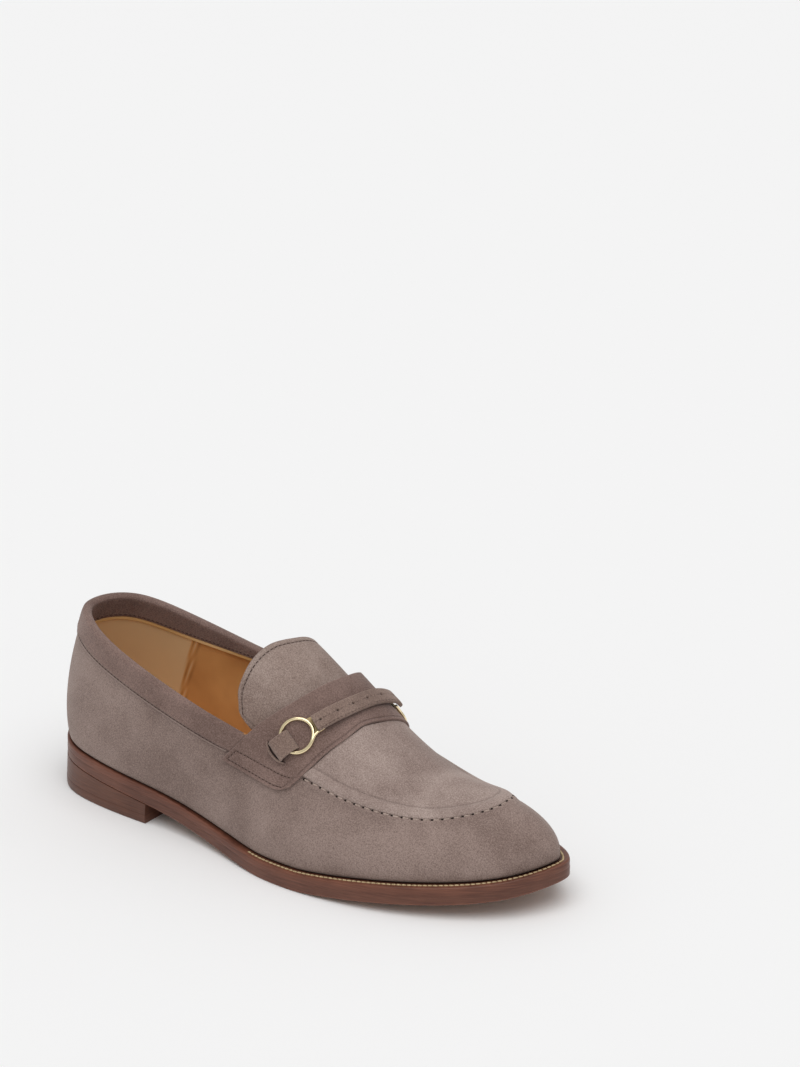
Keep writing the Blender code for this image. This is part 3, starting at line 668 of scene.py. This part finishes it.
def suede(name, dark, base, pale):
    """Brushed suede. The mark darkens grooves as painted shade, and where it is negative pales cut edges."""
    m = Nodes(name)
    sweep = m.noise(19.0, 2.0, 0.5, distortion=0.5)
    brushed = m.noise(90.0, 2.0, 0.5, m.stretch((1.0, 1.5, 1.3)), 0.4)
    fine = m.noise(1500.0, 3.0, 0.7)
    nap = m.noise(3600.0, 2.0, 0.65)
    tone = m.math("ADD", m.math("MULTIPLY", m.ramp(sweep, 0.36, 0.64), 0.6),
                  m.math("MULTIPLY", m.ramp(brushed, 0.1, 0.9), 0.4))
    colour = m.mix(m.ramp(tone, 0.2, 0.8), lighter(base, 0.90), lighter(pale, 1.08))
    grain = m.math("ADD", m.math("MULTIPLY", fine, 0.55), m.math("MULTIPLY", nap, 0.45))
    colour = m.mix(m.math("MULTIPLY", m.ramp(grain, 0.54, 0.36), 0.7), colour, dark)
    colour = m.mix(m.math("MULTIPLY", m.ramp(grain, 0.50, 0.66), 0.6), colour, lighter(pale, 1.35))
    # Painted shade: a positive mark darkens the colour towards a deep brown in grooves and seams; a negative
    # one pales cut edges.
    colour = m.marked(colour, 0.92, lighter(dark, 0.45), lighter(pale, 1.3))
    bump = m.bump(nap, 0.00025, 0.7, m.bump(fine, 0.0005, 0.6))
    return m.set(Base_Color=colour, Roughness=0.95, Normal=bump, Sheen_Weight=0.30,
                 Sheen_Roughness=0.45, Sheen_Tint=(0.86, 0.78, 0.74, 1.0), Specular_IOR_Level=0.12)


def calf(name, base, deep, pale=None):
    m = Nodes(name)
    cloud = m.noise(26.0, 3.0, 0.5)
    pores = m.node("ShaderNodeTexVoronoi", {"Vector": m.place, "Scale": 1800.0}).outputs["Distance"]
    colour = m.mix(m.ramp(cloud, 0.3, 0.7), deep, base)
    colour = m.marked(colour, 0.8, lighter(deep, 0.5), pale or base)
    return m.set(Base_Color=colour, Roughness=0.42, Normal=m.bump(pores, 0.00012, 0.35),
                 Specular_IOR_Level=0.35)


def sole_leather(name, base, deep, rough=0.42):
    """Edge of cut leather: fine level streaks, and darker joints between stacked layers. On the welt the same
    darkening is painted shade where it runs in under the upper.
    """
    m = Nodes(name)
    streak = m.noise(60.0, 4.0, 0.6, m.stretch((1.0, 1.0, 26.0)), 0.3)
    cloud = m.noise(40.0, 2.0, 0.5)
    tone = m.math("ADD", m.math("MULTIPLY", streak, 0.65), m.math("MULTIPLY", cloud, 0.35))
    colour = m.mix(m.ramp(tone, 0.36, 0.64), deep, base)
    colour = m.marked(colour, 0.9, lighter(deep, 0.35), lighter(base, 1.6))
    return m.set(Base_Color=colour, Roughness=rough, Normal=m.bump(streak, 0.0002, 0.35),
                 Specular_IOR_Level=0.35)


def metal(name, colour, rough):
    m = Nodes(name)
    scratch = m.noise(300.0, 2.0, 0.5, m.stretch((1.0, 3.0, 1.0)))
    return m.set(Base_Color=colour, Metallic=1.0,
                 Roughness=m.math("ADD", m.math("MULTIPLY", scratch, 0.08), rough),
                 Normal=m.bump(scratch, 0.00002, 0.1))


def thread_material(name, base, deep):
    m = Nodes(name)
    twist = m.noise(1500.0, 2.0, 0.5)
    return m.set(Base_Color=m.mix(m.ramp(twist, 0.35, 0.65), deep, base), Roughness=0.75,
                 Normal=m.bump(twist, 0.0001, 0.5), Specular_IOR_Level=0.2)


def even_turns(count, first=0.0, share=0.0):
    """Turns evenly spread along a share of the ribs, from a station round the toe and back."""
    start = angle(first)
    fine = np.linspace(start, 2 * np.pi - start, 2400)
    s = along(last(fine, share))
    return np.interp(np.linspace(0, s[-1], count), s, fine)


def step_share(turns):
    """How far the upper has dropped to its step under the apron, 0 to 1."""
    return np.clip((station(turns) - STEP_FROM) / STEP_RUN, 0, 1)


def mm_per_station(turn, share):
    """Millimetres round the foot that one millimetre of station takes."""
    return 1 / (turn_per_mm(turn, share) * np.abs(LENGTH / 2 * np.sin(turn)))


def stitch_phase(turns):
    """Millimetres along the apron seam, from the lateral strap edge."""
    fine = np.linspace(0, 2 * np.pi, 3000)
    s = along(last(fine, seam(fine)))
    start = np.interp(angle(158.0), fine, s)
    return np.interp(turns, fine, s) - start


def make_upper(looks):
    turns = np.append(even_turns(520)[:-1], 2 * np.pi)
    turns[0] = 0.0
    top = top_share(np.clip(turns, 1e-6, 2 * np.pi - 1e-6))
    dropped = step_share(turns)
    edge = np.minimum(seam(turns), top - 0.03)
    mm_seam, mm_foot = per_mm(turns, edge), per_mm(turns, 0.02)
    # Close rows at the foot and under the seam, even rows between and above them.
    rows = [d * mm_foot for d in (0.0, 0.5, 1.1, 2.0, 3.2)]
    near = [edge - d * mm_seam for d in (5.0, 4.0, 3.2, 2.6, 2.1, 1.7, 1.3, 0.95, 0.6, 0.3, 0.0)]
    low, high = rows[-1], near[0]
    rows += [low + (high - low) * k / 30 for k in range(1, 30)] + near
    past = edge + np.where(dropped > 0, 0.9 * mm_seam, 0.004)
    rows += [past + (top - past) * k / 34 for k in range(35)]
    shares = np.minimum(np.stack(rows), top)
    from_foot, from_seam = shares / mm_foot, (edge - shares) / mm_seam
    under = np.clip(from_seam, 0, None)
    front = smooth((station(turns) - 156) / 8)
    height = -0.7 * np.clip(1 - from_foot / 2.0, 0, 1)**2
    height = height + front * (0.95 * smooth((4.6 - under) / 4.0) - 0.35 * bell(under / 0.5))
    height = height - STEP * dropped * smooth(-from_seam / 0.9)
    for at, share, long, wide, deep, hand in CREASES:
        centre = angle(at, hand)
        near_turn = (turns - centre) / turn_per_mm(centre, share)
        near_rib = (shares - share) / per_mm(centre, share)
        height = height + deep * bell(near_turn / wide) * bell(near_rib / long)
    # Painted shade: darker along the foot, where the upper tucks in against the welt, and at the front just
    # under the apron's roll.
    mark = 0.8 * np.clip(1 - from_foot / 1.2, 0, 1) + front * 0.15 * bell(under / 0.5)
    mark = mark * (shares < edge + 0.002)
    outer = np.stack([off(turns, share, h) for share, h in zip(shares, height)])
    inner = np.stack([off(turns, share, -(STEP * dropped + 1.2)) for share in shares[::2]])
    build("upper_suede", [outer, inner[:, ::-1]], [looks["suede"]], "suede", "upper", marks=[mark])
    make_lining(looks, turns, top, outer[-1])


def make_lining(looks, turns, top, rim):
    """Lining from the foot to the upper's rim, with the heel grip stitched over it."""
    start = 1.5 * per_mm(turns, 0.02)
    rows = np.stack([start + (top - start) * k / 60 for k in range(61)])
    behind = GRIP_AT - GRIP_LEAN * rows - station(turns)
    grip = smooth(behind / 0.8)
    away = -(STEP * step_share(turns) + WALL - 0.1)
    away = away - 0.55 * grip - 0.15 * grip * bell((behind - 2.2) / 1.2)
    # Darker lines: at the grip's stitch row, partly stitching and partly painted shade in its groove, and
    # just past the grip's edge, painted shade under its step. The grip itself is a paler leather.
    line = bell((behind - 2.2) / 0.8) + 0.8 * bell((behind + 0.3) / 0.5)
    skin = np.stack([off(turns, share, h) for share, h in zip(rows, away)])
    mark = 0.7 * line - 0.85 * grip * (1 - line)
    build("lining", [skin[:, ::-1], np.stack([rim, skin[-1]])], [looks["lining"]], "lining_leather",
          marks=[mark[:, ::-1]])


def make_apron(looks):
    base = even_turns(560, 170.0, 0.5)
    edge = seam(base) + 0.95 * per_mm(base, seam(base))
    rows = [(edge + distance * per_mm(base, edge), height, distance)
            for distance, height in APRON_ROLL]
    inner_edge = rows[-1][0]
    rows += [(inner_edge + (1 - inner_edge) * k / 40, 0.52, 9.0) for k in range(1, 41)]
    outer, inner, marks = [], [], []
    place = np.linspace(0, 1, len(base))
    for share, height, distance in rows:
        # Each row starts and ends at the slanted front edge of the saddle strap.
        first, final = [float(angle(0.4 + np.interp(share[k], SADDLE_AT["share"], SADDLE_AT[key]), hand))
                        for k, key, hand in ((0, "front_l", -1), (-1, "front_m", 1))]
        turn = (base + (first - base[0]) * (1 - smooth(place / 0.12))
                + (final - base[-1]) * (1 - smooth((1 - place) / 0.12)))
        turn[0], turn[-1] = first, final
        outer.append(off(turn, share, height))
        inner.append(off(turn, share, 0.1 - STEP * step_share(turn)))
        # Painted shade in the groove on the roll's inner side and at the roll's foot over the vamp.
        marks.append(np.full_like(turn, 0.35 * bell((distance - 5.8) / 0.45)
                                  + 0.3 * bell((distance + 0.8) / 0.2)))
    patches = plate(np.stack(outer), np.stack(inner))
    # The apron takes the paler, lit copy of the suede: painted light on its upward face.
    build("apron_suede", patches, [looks["suede_apron_painted_light"]], "suede", "apron", marks=[np.stack(marks)])


def make_apron_seam(looks):
    """Hand seam of the apron: at each pitch a hole, drawn as a dark tube of painted shade, and a pale stitch
    between each two.
    """
    turns = np.linspace(angle(156.0), angle(166.0, 1), 2400)
    at = seam(turns) - 0.15 * per_mm(turns, seam(turns))
    path, normals = off(turns, at, 0.86), frame(turns, at)[3]
    phase = stitch_phase(turns)
    last_hole = SEAM_PITCH * np.floor(phase[-1] / SEAM_PITCH - 0.6)
    for name, look, past, length, radius, sink in (
            ("apron_stitches", "thread_pale", 0.0, 3.5, 0.42, 0.2),
            ("apron_holes", "slit", SEAM_PITCH / 2, 1.45, 0.62, 0.35)):
        keep = (phase >= -past) & (phase <= last_hole + past)
        run = path[keep], normals[keep]
        threads(name, [run], looks[look], "suede_trim", SEAM_PITCH, length, radius, sink)


def make_collar(looks):
    lateral, medial = angle(109.0), -angle(119.3)
    fine = np.linspace(medial, lateral, 1600)
    s = along(last(fine, top_share(np.mod(fine, 2 * np.pi))))
    place = np.linspace(0, s[-1], 440)
    turns = np.interp(place, s, fine)
    top = top_share(np.mod(turns, 2 * np.pi))
    mm = per_mm(turns, top)
    proud, lining = GAP + BAND, -(WALL + GAP + BAND)
    half, middle = (proud - lining) / 2, (proud + lining) / 2
    # The facing inside is broad at the heel and narrows towards the throat.
    facing = BAND_IN - 8.0 * smooth((station(turns) - 15) / 75)
    section = [(-BAND_OUT, 0.0), (-BAND_OUT, 0.35), (-BAND_OUT + 0.3, 0.6), (-BAND_OUT + 0.7, 0.95)]
    section += [(x, 1.28 - 0.25 * bell((x + BAND_OUT - 1.0) / 0.5) + 0.22 * smooth((x + 9) / 6))
                for x in np.linspace(-BAND_OUT + 1.1, -1.5, 22)]
    section += [(1.5 * math.sin(t) - 0.4, middle + half * math.cos(t) * 0.97)
                for t in np.linspace(0.25, np.pi - 0.25, 11)]
    rows, marks = [], []
    for where, away in section:
        share = top + where * mm
        turn = turns.copy()
        # Each row runs on to the slanted back edge of the saddle strap.
        for end, key, tip, gap in ((lateral, "back_l", share[-1], s[-1] - place),
                                   (medial, "back_m", share[0], place)):
            stop = float(angle(np.interp(tip, SADDLE_AT["share"], SADDLE_AT[key]) - 0.15))
            turn = turn + (math.copysign(stop, end) - end) * smooth(1 - gap / 14)
        rows.append(off(turn, share, away))
        # Painted shade along the band's lower outer edge, where it stands proud over the quarter.
        marks.append(np.full_like(turns, 0.75 * bell((where + BAND_OUT - 0.1) / 0.5) * (away > 0)))
    inside = [(k, 0.1) for k in np.linspace(0, 0.94, 8)] + [(0.985, 0.3), (1.0, 0.8), (1.0, GAP + BAND + 0.1)]
    rows += [off(turns, top - (1.5 + where * (facing - 1.5)) * mm, lining + away) for where, away in inside]
    marks += [np.zeros_like(turns)] * len(inside)
    build("collar_suede", [np.stack(rows)], [looks["suede_trim"]], "suede_trim", "collar_band",
          marks=[np.stack(marks)])
    # Turned edge of the quarter, standing a little proud under the band.
    lip = np.stack([off(turns, top - (BAND_OUT + 0.65 + 0.55 * math.cos(k)) * mm, 0.25 + 0.50 * math.sin(k))
                    for k in np.linspace(0, np.pi, 9)])
    build("quarter_edge", [lip], [looks["suede"]], "suede", marks=[np.full(lip.shape[:2], -0.25)])
    path = off(turns, top - (BAND_OUT - 0.25) * mm, 0.62)
    inner_path = off(turns, top - (facing - 1.6) * mm, lining + 0.08)
    normals = frame(np.mod(turns, 2 * np.pi), top)[3]
    threads("collar_stitches", [(path, normals), (inner_path, -normals)], looks["thread_dark"],
            "suede_trim", 2.5, 1.7, 0.30, 0.2)
    # Cut edge of the lining leather, left showing as a pale line under the facing.
    piping = np.stack([off(turns, top - (facing + 0.5 - d) * mm, -WALL + h)
                       for d, h in ((0.6, 0.15), (0.5, -1.0), (-0.5, -1.2), (-1.4, -1.1), (-1.8, 0.1))])
    build("lining_edge", [piping], [looks["lining_pale"]], "lining_leather")


def saddle_edges(hand):
    """Stations of the saddle strap's back and front edges, by the share of the rib."""
    key = "l" if hand < 0 else "m"
    return [spline(SADDLE_AT["share"], SADDLE_AT[edge + key]) for edge in ("back_", "front_")]


def make_strap(looks):
    places = np.linspace(0, 1, 84)
    places = 0.5 - 0.5 * np.cos(np.pi * places) * (0.55 + 0.45 * np.abs(np.cos(np.pi * places)))
    places = (places - places[0]) / (places[-1] - places[0])
    ends = np.interp(places, *columns(SADDLE_END))
    shares = ends + (1 - ends) * np.linspace(0, 1, 110)[:, None]**1.25
    halves, runs = [], []
    for hand in (-1, 1):
        back, front = saddle_edges(hand)

        def turn_at(share, place):
            return angle(back(share) + (front(share) - back(share)) * place, hand)

        turn = turn_at(shares, places)
        width = (front(shares) - back(shares)) * mm_per_station(turn, shares)
        low, fore = (shares - ends) / per_mm(turn, shares), (1 - places) * width
        border = np.minimum(np.minimum(low, places * width), fore)
        seam_line = np.maximum(bell((border - 2.2) / 0.45) * (low < 9.6),
                               bell((low - 9.2) / 0.45) * (border > 2.0))
        # Pressed line along the front edge, above the box.
        crease = bell((fore - 2.0) / 0.4) * smooth((low - 9.0) / 3)
        level = STRAP + GAP - rounded(border, 0.5) - 0.30 * seam_line - 0.30 * crease
        # The mark paints shade into the stitched groove and the pressed line, and pales the cut edge.
        mark = 0.30 * seam_line + 0.42 * crease - 0.25 * bell((border - 0.15) / 0.35)
        halves.append((turn, shares, level, mark))
        for place, rise in box_paths():
            base = np.interp(place, *columns(SADDLE_END))
            share = base + rise * per_mm(turn_at(base, place), base)
            turn = turn_at(share, place)
            runs.append((off(turn, share, GAP + STRAP - 0.22), frame(turn, share)[3]))
    turn, share, level, mark = [joined(*pair) for pair in zip(*halves)]
    patches = plate(off(turn, share, level), off(turn, share, 0.05))
    build("strap_suede", patches, [looks["suede_trim"]], "suede_trim", "saddle_strap", marks=[mark])
    threads("strap_stitches", runs, looks["thread_dark"], "suede_trim", 2.2, 1.5, 0.30, 0.2)


def box_paths():
    """Stitched box at the strap's lower end: places between the edges, mm above the end."""
    rear, low, high = 0.06, 2.2, 9.2
    return (
        (np.linspace(rear, 0.93, 60), np.full(60, low)),
        (np.linspace(rear, 0.90, 60), np.full(60, high)),
        (np.full(12, rear), np.linspace(low, high, 12)),
    )


def make_tongue(looks):
    at, back_l, back_m, ahead = columns(TONGUE_EDGE)
    shares = at[0] + (1 - at[0]) * np.linspace(0, 1, 80)**0.9
    place = np.linspace(0, 1, 70)**1.35
    front = np.interp(shares, at, ahead)
    halves, lines = [], []
    for hand, back in ((-1, back_l), (1, back_m)):
        rear = spline(at, back)(shares)
        x = rear[:, None] + (front - rear)[:, None] * place
        share = np.broadcast_to(shares[:, None], x.shape)
        turn = angle(x, hand)
        mm = mm_per_station(turn, share)
        low = (share - shares[0]) / per_mm(turn, share)
        border = np.minimum((x - rear[:, None]) * mm, low)
        line = bell((border - 3.0) / 0.5)
        level = -TONGUE_DROP - rounded(border, 0.6) - 0.30 * line
        # The mark darkens the stitched groove as painted shade, and darkens the rim a little.
        halves.append((turn, share, level, 0.5 * line + 0.3 * bell(border / 0.5)))
        lines.append((angle(rear + 3.0 / mm[:, 0], hand), shares))
    turn, share, level, mark = [joined(*pair) for pair in zip(*halves)]
    patches = plate(off(turn, share, level), off(turn, share, -TONGUE_DROP - TONGUE), 0, 1)
    build("tongue_suede", patches, [looks["suede_pale"], looks["lining"]], "suede", "tongue",
          marks=[mark])
    turn, share = [joined(*pair) for pair in zip(*lines)]
    run = off(turn, share, -TONGUE_DROP - 0.20), frame(turn, share)[3]
    threads("tongue_stitches", [run], looks["thread_dark"], "suede_trim", 2.5, 1.9, 0.28)


def ring_line(points, count):
    """Smooth line through a few points on the bit's plane."""
    points = np.array(points, float)
    s = along(points)
    even = np.linspace(0, s[-1], count)
    return np.stack([spline(s, points[:, i])(even) for i in (0, 1)], -1)


def make_ring(side_name, hand, looks):
    """Wire ring, the horn that leaves it for the bar's corner, and the web under the bar."""
    mid, thick = WIRE / 2, 0.86
    turn, wire = np.linspace(0, 2 * np.pi, 121)[:, None], np.linspace(0, 2 * np.pi, 21)
    wide = RING + thick * np.cos(wire)
    ring = np.stack([wide * np.cos(turn), wide * np.sin(turn),
                     mid + thick * np.sin(wire) + 0 * turn], -1)
    line = ring_line(HORN, 40)
    lower = smooth((line[:, 0] - 9.4) / 3.4)
    path = np.column_stack([line, mid - 0.02 - 0.26 * lower])
    patches = [placed(hand, ring), placed(hand, tube(path, 0.88 - 0.16 * lower))]
    k, across = np.linspace(0, 1, 11)[:, None], np.linspace(-1, 1, 11)
    x = RING * 0.95 + (RING * 0.05 + 6.4) * k + 0 * across
    web = np.stack([x - 1.9 * (1 - k) * across**2, (4.6 - 1.4 * k) * across,
                    mid - 0.30 - 0.1 * smooth((x - 9.0) / 3.5)], -1)
    # The web takes the darker brass: painted shade under the bar.
    patches += [(placed(hand, grid), 1) for grid, _ in plate(web, web - [0.0, 0.0, 0.4])]
    build("ring_brass_" + side_name, patches, [looks["brass"], looks["brass_web_painted_shade"]], "brass",
          "bit_ring_" + side_name, sharp=60)


def make_bar(looks):
    places = np.linspace(-1.07, 1, 300)
    s = along(bar_grid(places, np.array([0.0]), np.zeros(1))[:, 0])
    pitch, far, s = s[-1] / 6, s[-1], s[:, None]
    y = np.linspace(-1, 1, 46)
    y = np.sign(y) * (1 - (1 - np.abs(y))**1.25) * BAR_W / 2
    border = np.minimum(BAR_W / 2 - np.abs(y), np.minimum(s, far - s))
    # Holes at an even pitch with slits between them, and a dotted groove near the fore edge.
    past, line, fore = s - 3.4, y + 0.4, y - (BAR_W / 2 - 0.6)
    hole = bell(((past + pitch / 2) % pitch - pitch / 2) / 0.62) * bell(line / 0.55)
    slit = (bell((past % (pitch / 2) - pitch / 4) / 0.9) * bell(line / 0.25)
            + 0.8 * bell((past % pitch - pitch / 2) / 0.4) * bell(line / 0.4))
    dots = bell(((s + 1.1) % 2.2 - 1.1) / 0.55) * bell(fore / 0.35)
    groove = bell(fore / 0.4)
    rise = BAR_H - rounded(border, 0.6) - 0.9 * hole - 0.30 * slit - 0.15 * groove - 0.2 * dots
    # The mark darkens the holes, slits, dots and groove as painted shade, and pales the cut edge.
    mark = 1.2 * hole + 0.45 * slit + 0.7 * dots + 0.15 * groove - 0.25 * bell((border - 0.1) / 0.35)
    patches = plate(bar_grid(places, y, rise), bar_grid(places, y, np.zeros_like(rise)))
    build("bar_suede", patches, [looks["suede_bit"]], "suede_trim", "bit_bar", marks=[mark])


def make_loop(side_name, hand, looks):
    """Suede tab folded over the ring, and the slit in the strap that it comes out of."""
    turn = np.linspace(0, np.pi, 56)
    path = np.stack([0.1 - RING - 4.7 * np.cos(turn),
                     (WIRE + GAP) * np.minimum(1.0, 1.25 * np.sin(turn))], -1)
    run = np.gradient(path, axis=0)
    run /= np.linalg.norm(run, axis=1, keepdims=True)
    outer = path + np.stack([-run[:, 1], run[:, 0]], -1) * LOOP_H
    y = np.linspace(-LOOP_W / 2, LOOP_W / 2, 30)
    border = LOOP_W / 2 - np.abs(y)
    grids = []
    for line, drop in ((outer, rounded(border, 0.35)), (path, 0 * border)):
        x, z = line[:, :1], np.maximum(line[:, 1:], 0.0)
        grids.append(placed(hand, np.stack([x + 0 * y, y + 0 * x, z - drop * (z > 0.5)], -1)))
    mark = np.broadcast_to(-0.3 * bell((border - 0.1) / 0.3), (len(turn), len(y)))
    name = "loop_" + side_name
    build(name + "_suede", plate(*grids), [looks["suede_bit"]], "suede_trim", name, marks=[mark])
    line = ring_line(SLIT, 60)
    taper = 1 - 0.8 * np.abs(np.linspace(-1, 1, 60))**6
    # The slit is a dark tube of painted shade; the lip beside it is suede.
    for label, shift, lift, radius, look in (("slit", 0.25, 0.02, 0.40, "slit"),
                                             ("lip", -0.65, 0.05, 0.60, "suede_bit")):
        spot = np.column_stack([line + [shift, shift * 0.1], np.full(60, lift - GAP - BIT_LIFT[hand])])
        patch = placed(hand, tube(spot, radius * taper, 12))
        build(name + "_" + label, [patch], [looks[look]], "suede_trim")


def rings(turns, rows, follow=1.0):
    """Rings round the foot: (inset, height). Each follows its share of the ground line."""
    made = []
    for (inset, height), share in zip(rows, np.broadcast_to(follow, len(rows))):
        level = outline(turns, inset)
        made.append(np.column_stack([level, height + share * ground(level[:, 0])]))
    return np.stack(made)


def cap(ring):
    """Flat cover of a closed ring whose halves mirror each other, in strips across."""
    count = (len(ring) + 1) // 2
    t = np.linspace(0, 1, 13)[None, :, None]
    return ring[:count, None] * (1 - t) + ring[::-1][:count, None] * t


def body(name, rows, looks, slot, node, notes=0.0):
    """Closed body of rings one above the other. A second look is its underside's."""
    mark = np.broadcast_to(np.reshape(notes, (-1, 1)), rows.shape[:2])
    patches = [rows, (cap(rows[0]), len(looks) - 1), cap(rows[-1])]
    face_out(build(name, patches, looks, slot, node, marks=[mark]))


def make_sole(looks):
    turns = np.linspace(0, 2 * np.pi, 601)
    low, high = OUTSOLE + GAP, OUTSOLE + GAP + WELT
    rows = rings(turns, [(0.9, 0.0), (0.35, 0.12), (0.05, 0.5), (0.0, 1.1), (0.06, 1.7), (0.02, 3.2),
                         (0.02, 4.4), (0.16, low + 0.05)])
    notes = (0.0, -0.45, -0.45, 0.0, 0.0, 0.0, 0.0, 0.12)
    body("outsole_leather", rows, [looks["outsole"], looks["underside"]], "sole_leather", "outsole",
         notes)

    showing = shelf(turns)
    rows = rings(turns, [(showing + 2.5, low), (0.2, low), (0.16, low + 0.1), (0.15, low + 0.8),
                         (0.12, high - 1.2), (0.3, high - 0.5), (0.75, high - 0.1), (1.3, high),
                         (np.maximum(showing * 0.5, 1.4), high - 0.05),
                         (showing - 0.6, high - 0.15), (showing + 2.5, high - 0.2)])
    mark = np.zeros(rows.shape[:2])
    # Painted shade on the two inner rows, where the welt runs in under the upper; a faint dark joint on the
    # low outer rows.
    mark[1:3], mark[-2], mark[-1] = 0.12, 0.35, 0.9
    build("welt_leather", [rows], [looks["welt"]], "welt_leather", "welt", marks=[mark])
    fine = np.linspace(angle(WELT_SEAM_FROM), angle(WELT_SEAM_FROM, 1), 2600)
    path = rings(fine, [(shelf(fine) * 0.66, high + 0.02)])[0]
    normals = np.tile([0.0, 0.0, 1.0], (len(fine), 1))
    threads("welt_stitches", [(path, normals)], looks["thread_tan"], "welt_leather", 2.6, 2.5, 0.66,
            0.25, 0.75)

    half = np.linspace(0, angle(HEEL_X), 130)
    heel = np.concatenate([half, 2 * np.pi - half[::-1]])
    rows = rings(heel, [(-0.5, 0.0), (-0.85, 0.35), (-0.98, 1.0), (-0.93, 3.8), (-0.80, 4.9),
                        (-0.7, LIFT + 0.01)], 0.0)
    notes = (0.0, 0.0, 0.0, 0.0, 0.25, 0.3)
    body("heel_top_piece", rows, [looks["heel"]], "heel_rubber", "top_piece", notes)
    share = np.linspace(0, 1, 35)
    joint = bell((share[:, None] - HEEL_JOINTS) / 0.026).max(1)
    rows = list(zip(-0.8 + 0.7 * share + 0.05 * joint, (LIFT + 0.02) * (1 - share)))
    body("heel_stack_leather", rings(heel, rows, share), [looks["heel"]], "heel_leather", "heel_stack",
         0.10 * joint)

    inset = showing + margin(turns) + 2 + GAP
    rows = rings(turns, [(inset, low), (inset, high + GAP + WALL - 0.1)])
    body("cork_filler", rows, [looks["cork"]], "cork", "filler")
    ahead = np.clip((station(turns) - 145) / 20, 0, 1)
    inset, floor = showing + WALL + 0.5 + 1.6 * ahead, high + GAP + WALL + GAP
    rows = rings(turns, [(inset, floor), (inset, floor + INSOLE)])
    body("sock_lining", rows, [looks["lining"]], "lining_leather", "insole")


def make_looks():
    return {
        "suede": suede("taupe suede", rgb(90, 71, 64), rgb(137, 117, 109), rgb(154, 135, 127)),
        "suede_pale": suede("taupe suede, tongue", rgb(100, 82, 74), rgb(146, 125, 115), rgb(170, 152, 143)),
        # Lit copy of the suede: the apron faces up into the light, and its colour is made paler as painted
        # light.
        "suede_apron_painted_light": suede("taupe suede, apron, paler as painted light", rgb(106, 88, 81), rgb(153, 133, 125), rgb(174, 156, 148)),
        "suede_trim": suede("taupe suede, trim", rgb(76, 57, 51), rgb(126, 103, 95), rgb(142, 119, 111)),
        "suede_bit": suede("taupe suede, bar", rgb(84, 66, 58), rgb(135, 113, 103), rgb(151, 130, 119)),
        "lining": calf("tan calf lining", rgb(220, 165, 104), rgb(184, 128, 74), rgb(230, 202, 158)),
        "lining_pale": calf("cut edge of the lining", rgb(240, 206, 150), rgb(214, 172, 112)),
        "outsole": sole_leather("outsole leather", rgb(115, 73, 57), rgb(84, 50, 38)),
        "underside": sole_leather("outsole underside", rgb(158, 112, 76), rgb(134, 92, 62), rough=0.55),
        "welt": sole_leather("welt leather", rgb(122, 76, 58), rgb(90, 53, 40)),
        "heel": sole_leather("stacked heel", rgb(108, 70, 54), rgb(82, 51, 40)),
        "cork": sole_leather("cork", rgb(170, 130, 92), rgb(120, 88, 60), rough=0.8),
        "brass": metal("pale brass", rgb(244, 226, 184), 0.14),
        # Copy of the brass for the web, rougher, and darker as painted shade because the web lies in shade.
        "brass_web_painted_shade": metal("pale brass, rough, darker as painted shade", rgb(150, 132, 98), 0.45),
        "slit": thread_material("shade in a slit", rgb(46, 34, 30), rgb(34, 25, 22)),
        "thread_dark": thread_material("dark taupe thread", rgb(82, 64, 58), rgb(56, 42, 38)),
        "thread_pale": thread_material("pale taupe thread", rgb(188, 169, 158), rgb(150, 131, 121)),
        "thread_tan": thread_material("beige thread", rgb(206, 184, 146), rgb(160, 138, 104)),
    }


def make_stage():
    size = 12.0
    corners = [(-size, -size, 0), (size, -size, 0), (size, size, 0), (-size, size, 0)]
    mesh = bpy.data.meshes.new("floor")
    mesh.from_pydata(corners, [], [(0, 1, 2, 3)])
    paint = Nodes("floor")
    mesh.materials.append(paint.set(Base_Color=(0.93, 0.93, 0.93, 1.0), Roughness=0.9,
                                    Specular_IOR_Level=0.1))
    floor = link("floor", mesh)
    # White room, a little darker at the horizon so that the brass has something to mirror.
    world = bpy.data.worlds.new("studio")
    world.use_nodes = True
    nodes, links = world.node_tree.nodes, world.node_tree.links
    height = nodes.new("ShaderNodeSeparateXYZ")
    links.new(nodes.new("ShaderNodeTexCoord").outputs["Generated"], height.inputs[0])
    shade = nodes.new("ShaderNodeMapRange")
    links.new(height.outputs["Z"], shade.inputs["Value"])
    for key, value in (("From Min", 0.0), ("From Max", 0.8), ("To Min", HORIZON), ("To Max", ZENITH)):
        shade.inputs[key].default_value = value
    nodes["Background"].inputs["Color"].default_value = (1.0, 1.0, 1.0, 1.0)
    links.new(shade.outputs[0], nodes["Background"].inputs["Strength"])
    bpy.context.scene.world = world
    lamp = bpy.data.lights.new("key", "SUN")
    lamp.energy, lamp.angle = KEY_POWER, math.radians(KEY_WIDTH)
    link("key", lamp).rotation_euler = Vector(KEY_FROM).to_track_quat("Z", "Y").to_euler()

    camera = bpy.data.cameras.new("camera")
    camera.sensor_width, camera.lens = 36.0, LENS
    camera.clip_start, camera.clip_end = 0.05, 20.0
    place = np.eye(4)
    place[:3, :3] = np.array([CAMERA_RIGHT, CAMERA_UP, CAMERA_BACK]).T
    place[:3, 3] = (np.array(CAMERA_MM) - [CENTRE_X, CENTRE_Y, 0]) * MM
    holder = link("camera", camera)
    holder.matrix_world = Matrix(place.tolist())
    bpy.context.scene.camera = holder
    bpy.context.scene.view_settings.view_transform = "Standard"


def main():
    for thing in list(bpy.data.objects):
        bpy.data.objects.remove(thing, do_unlink=True)
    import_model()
    looks = make_looks()
    make_sole(looks)
    make_upper(looks)
    make_apron(looks)
    make_apron_seam(looks)
    make_collar(looks)
    make_tongue(looks)
    make_strap(looks)
    make_bar(looks)
    for side_name, hand in (("lateral", -1), ("medial", 1)):
        make_ring(side_name, hand, looks)
        make_loop(side_name, hand, looks)
    make_stage()


main()
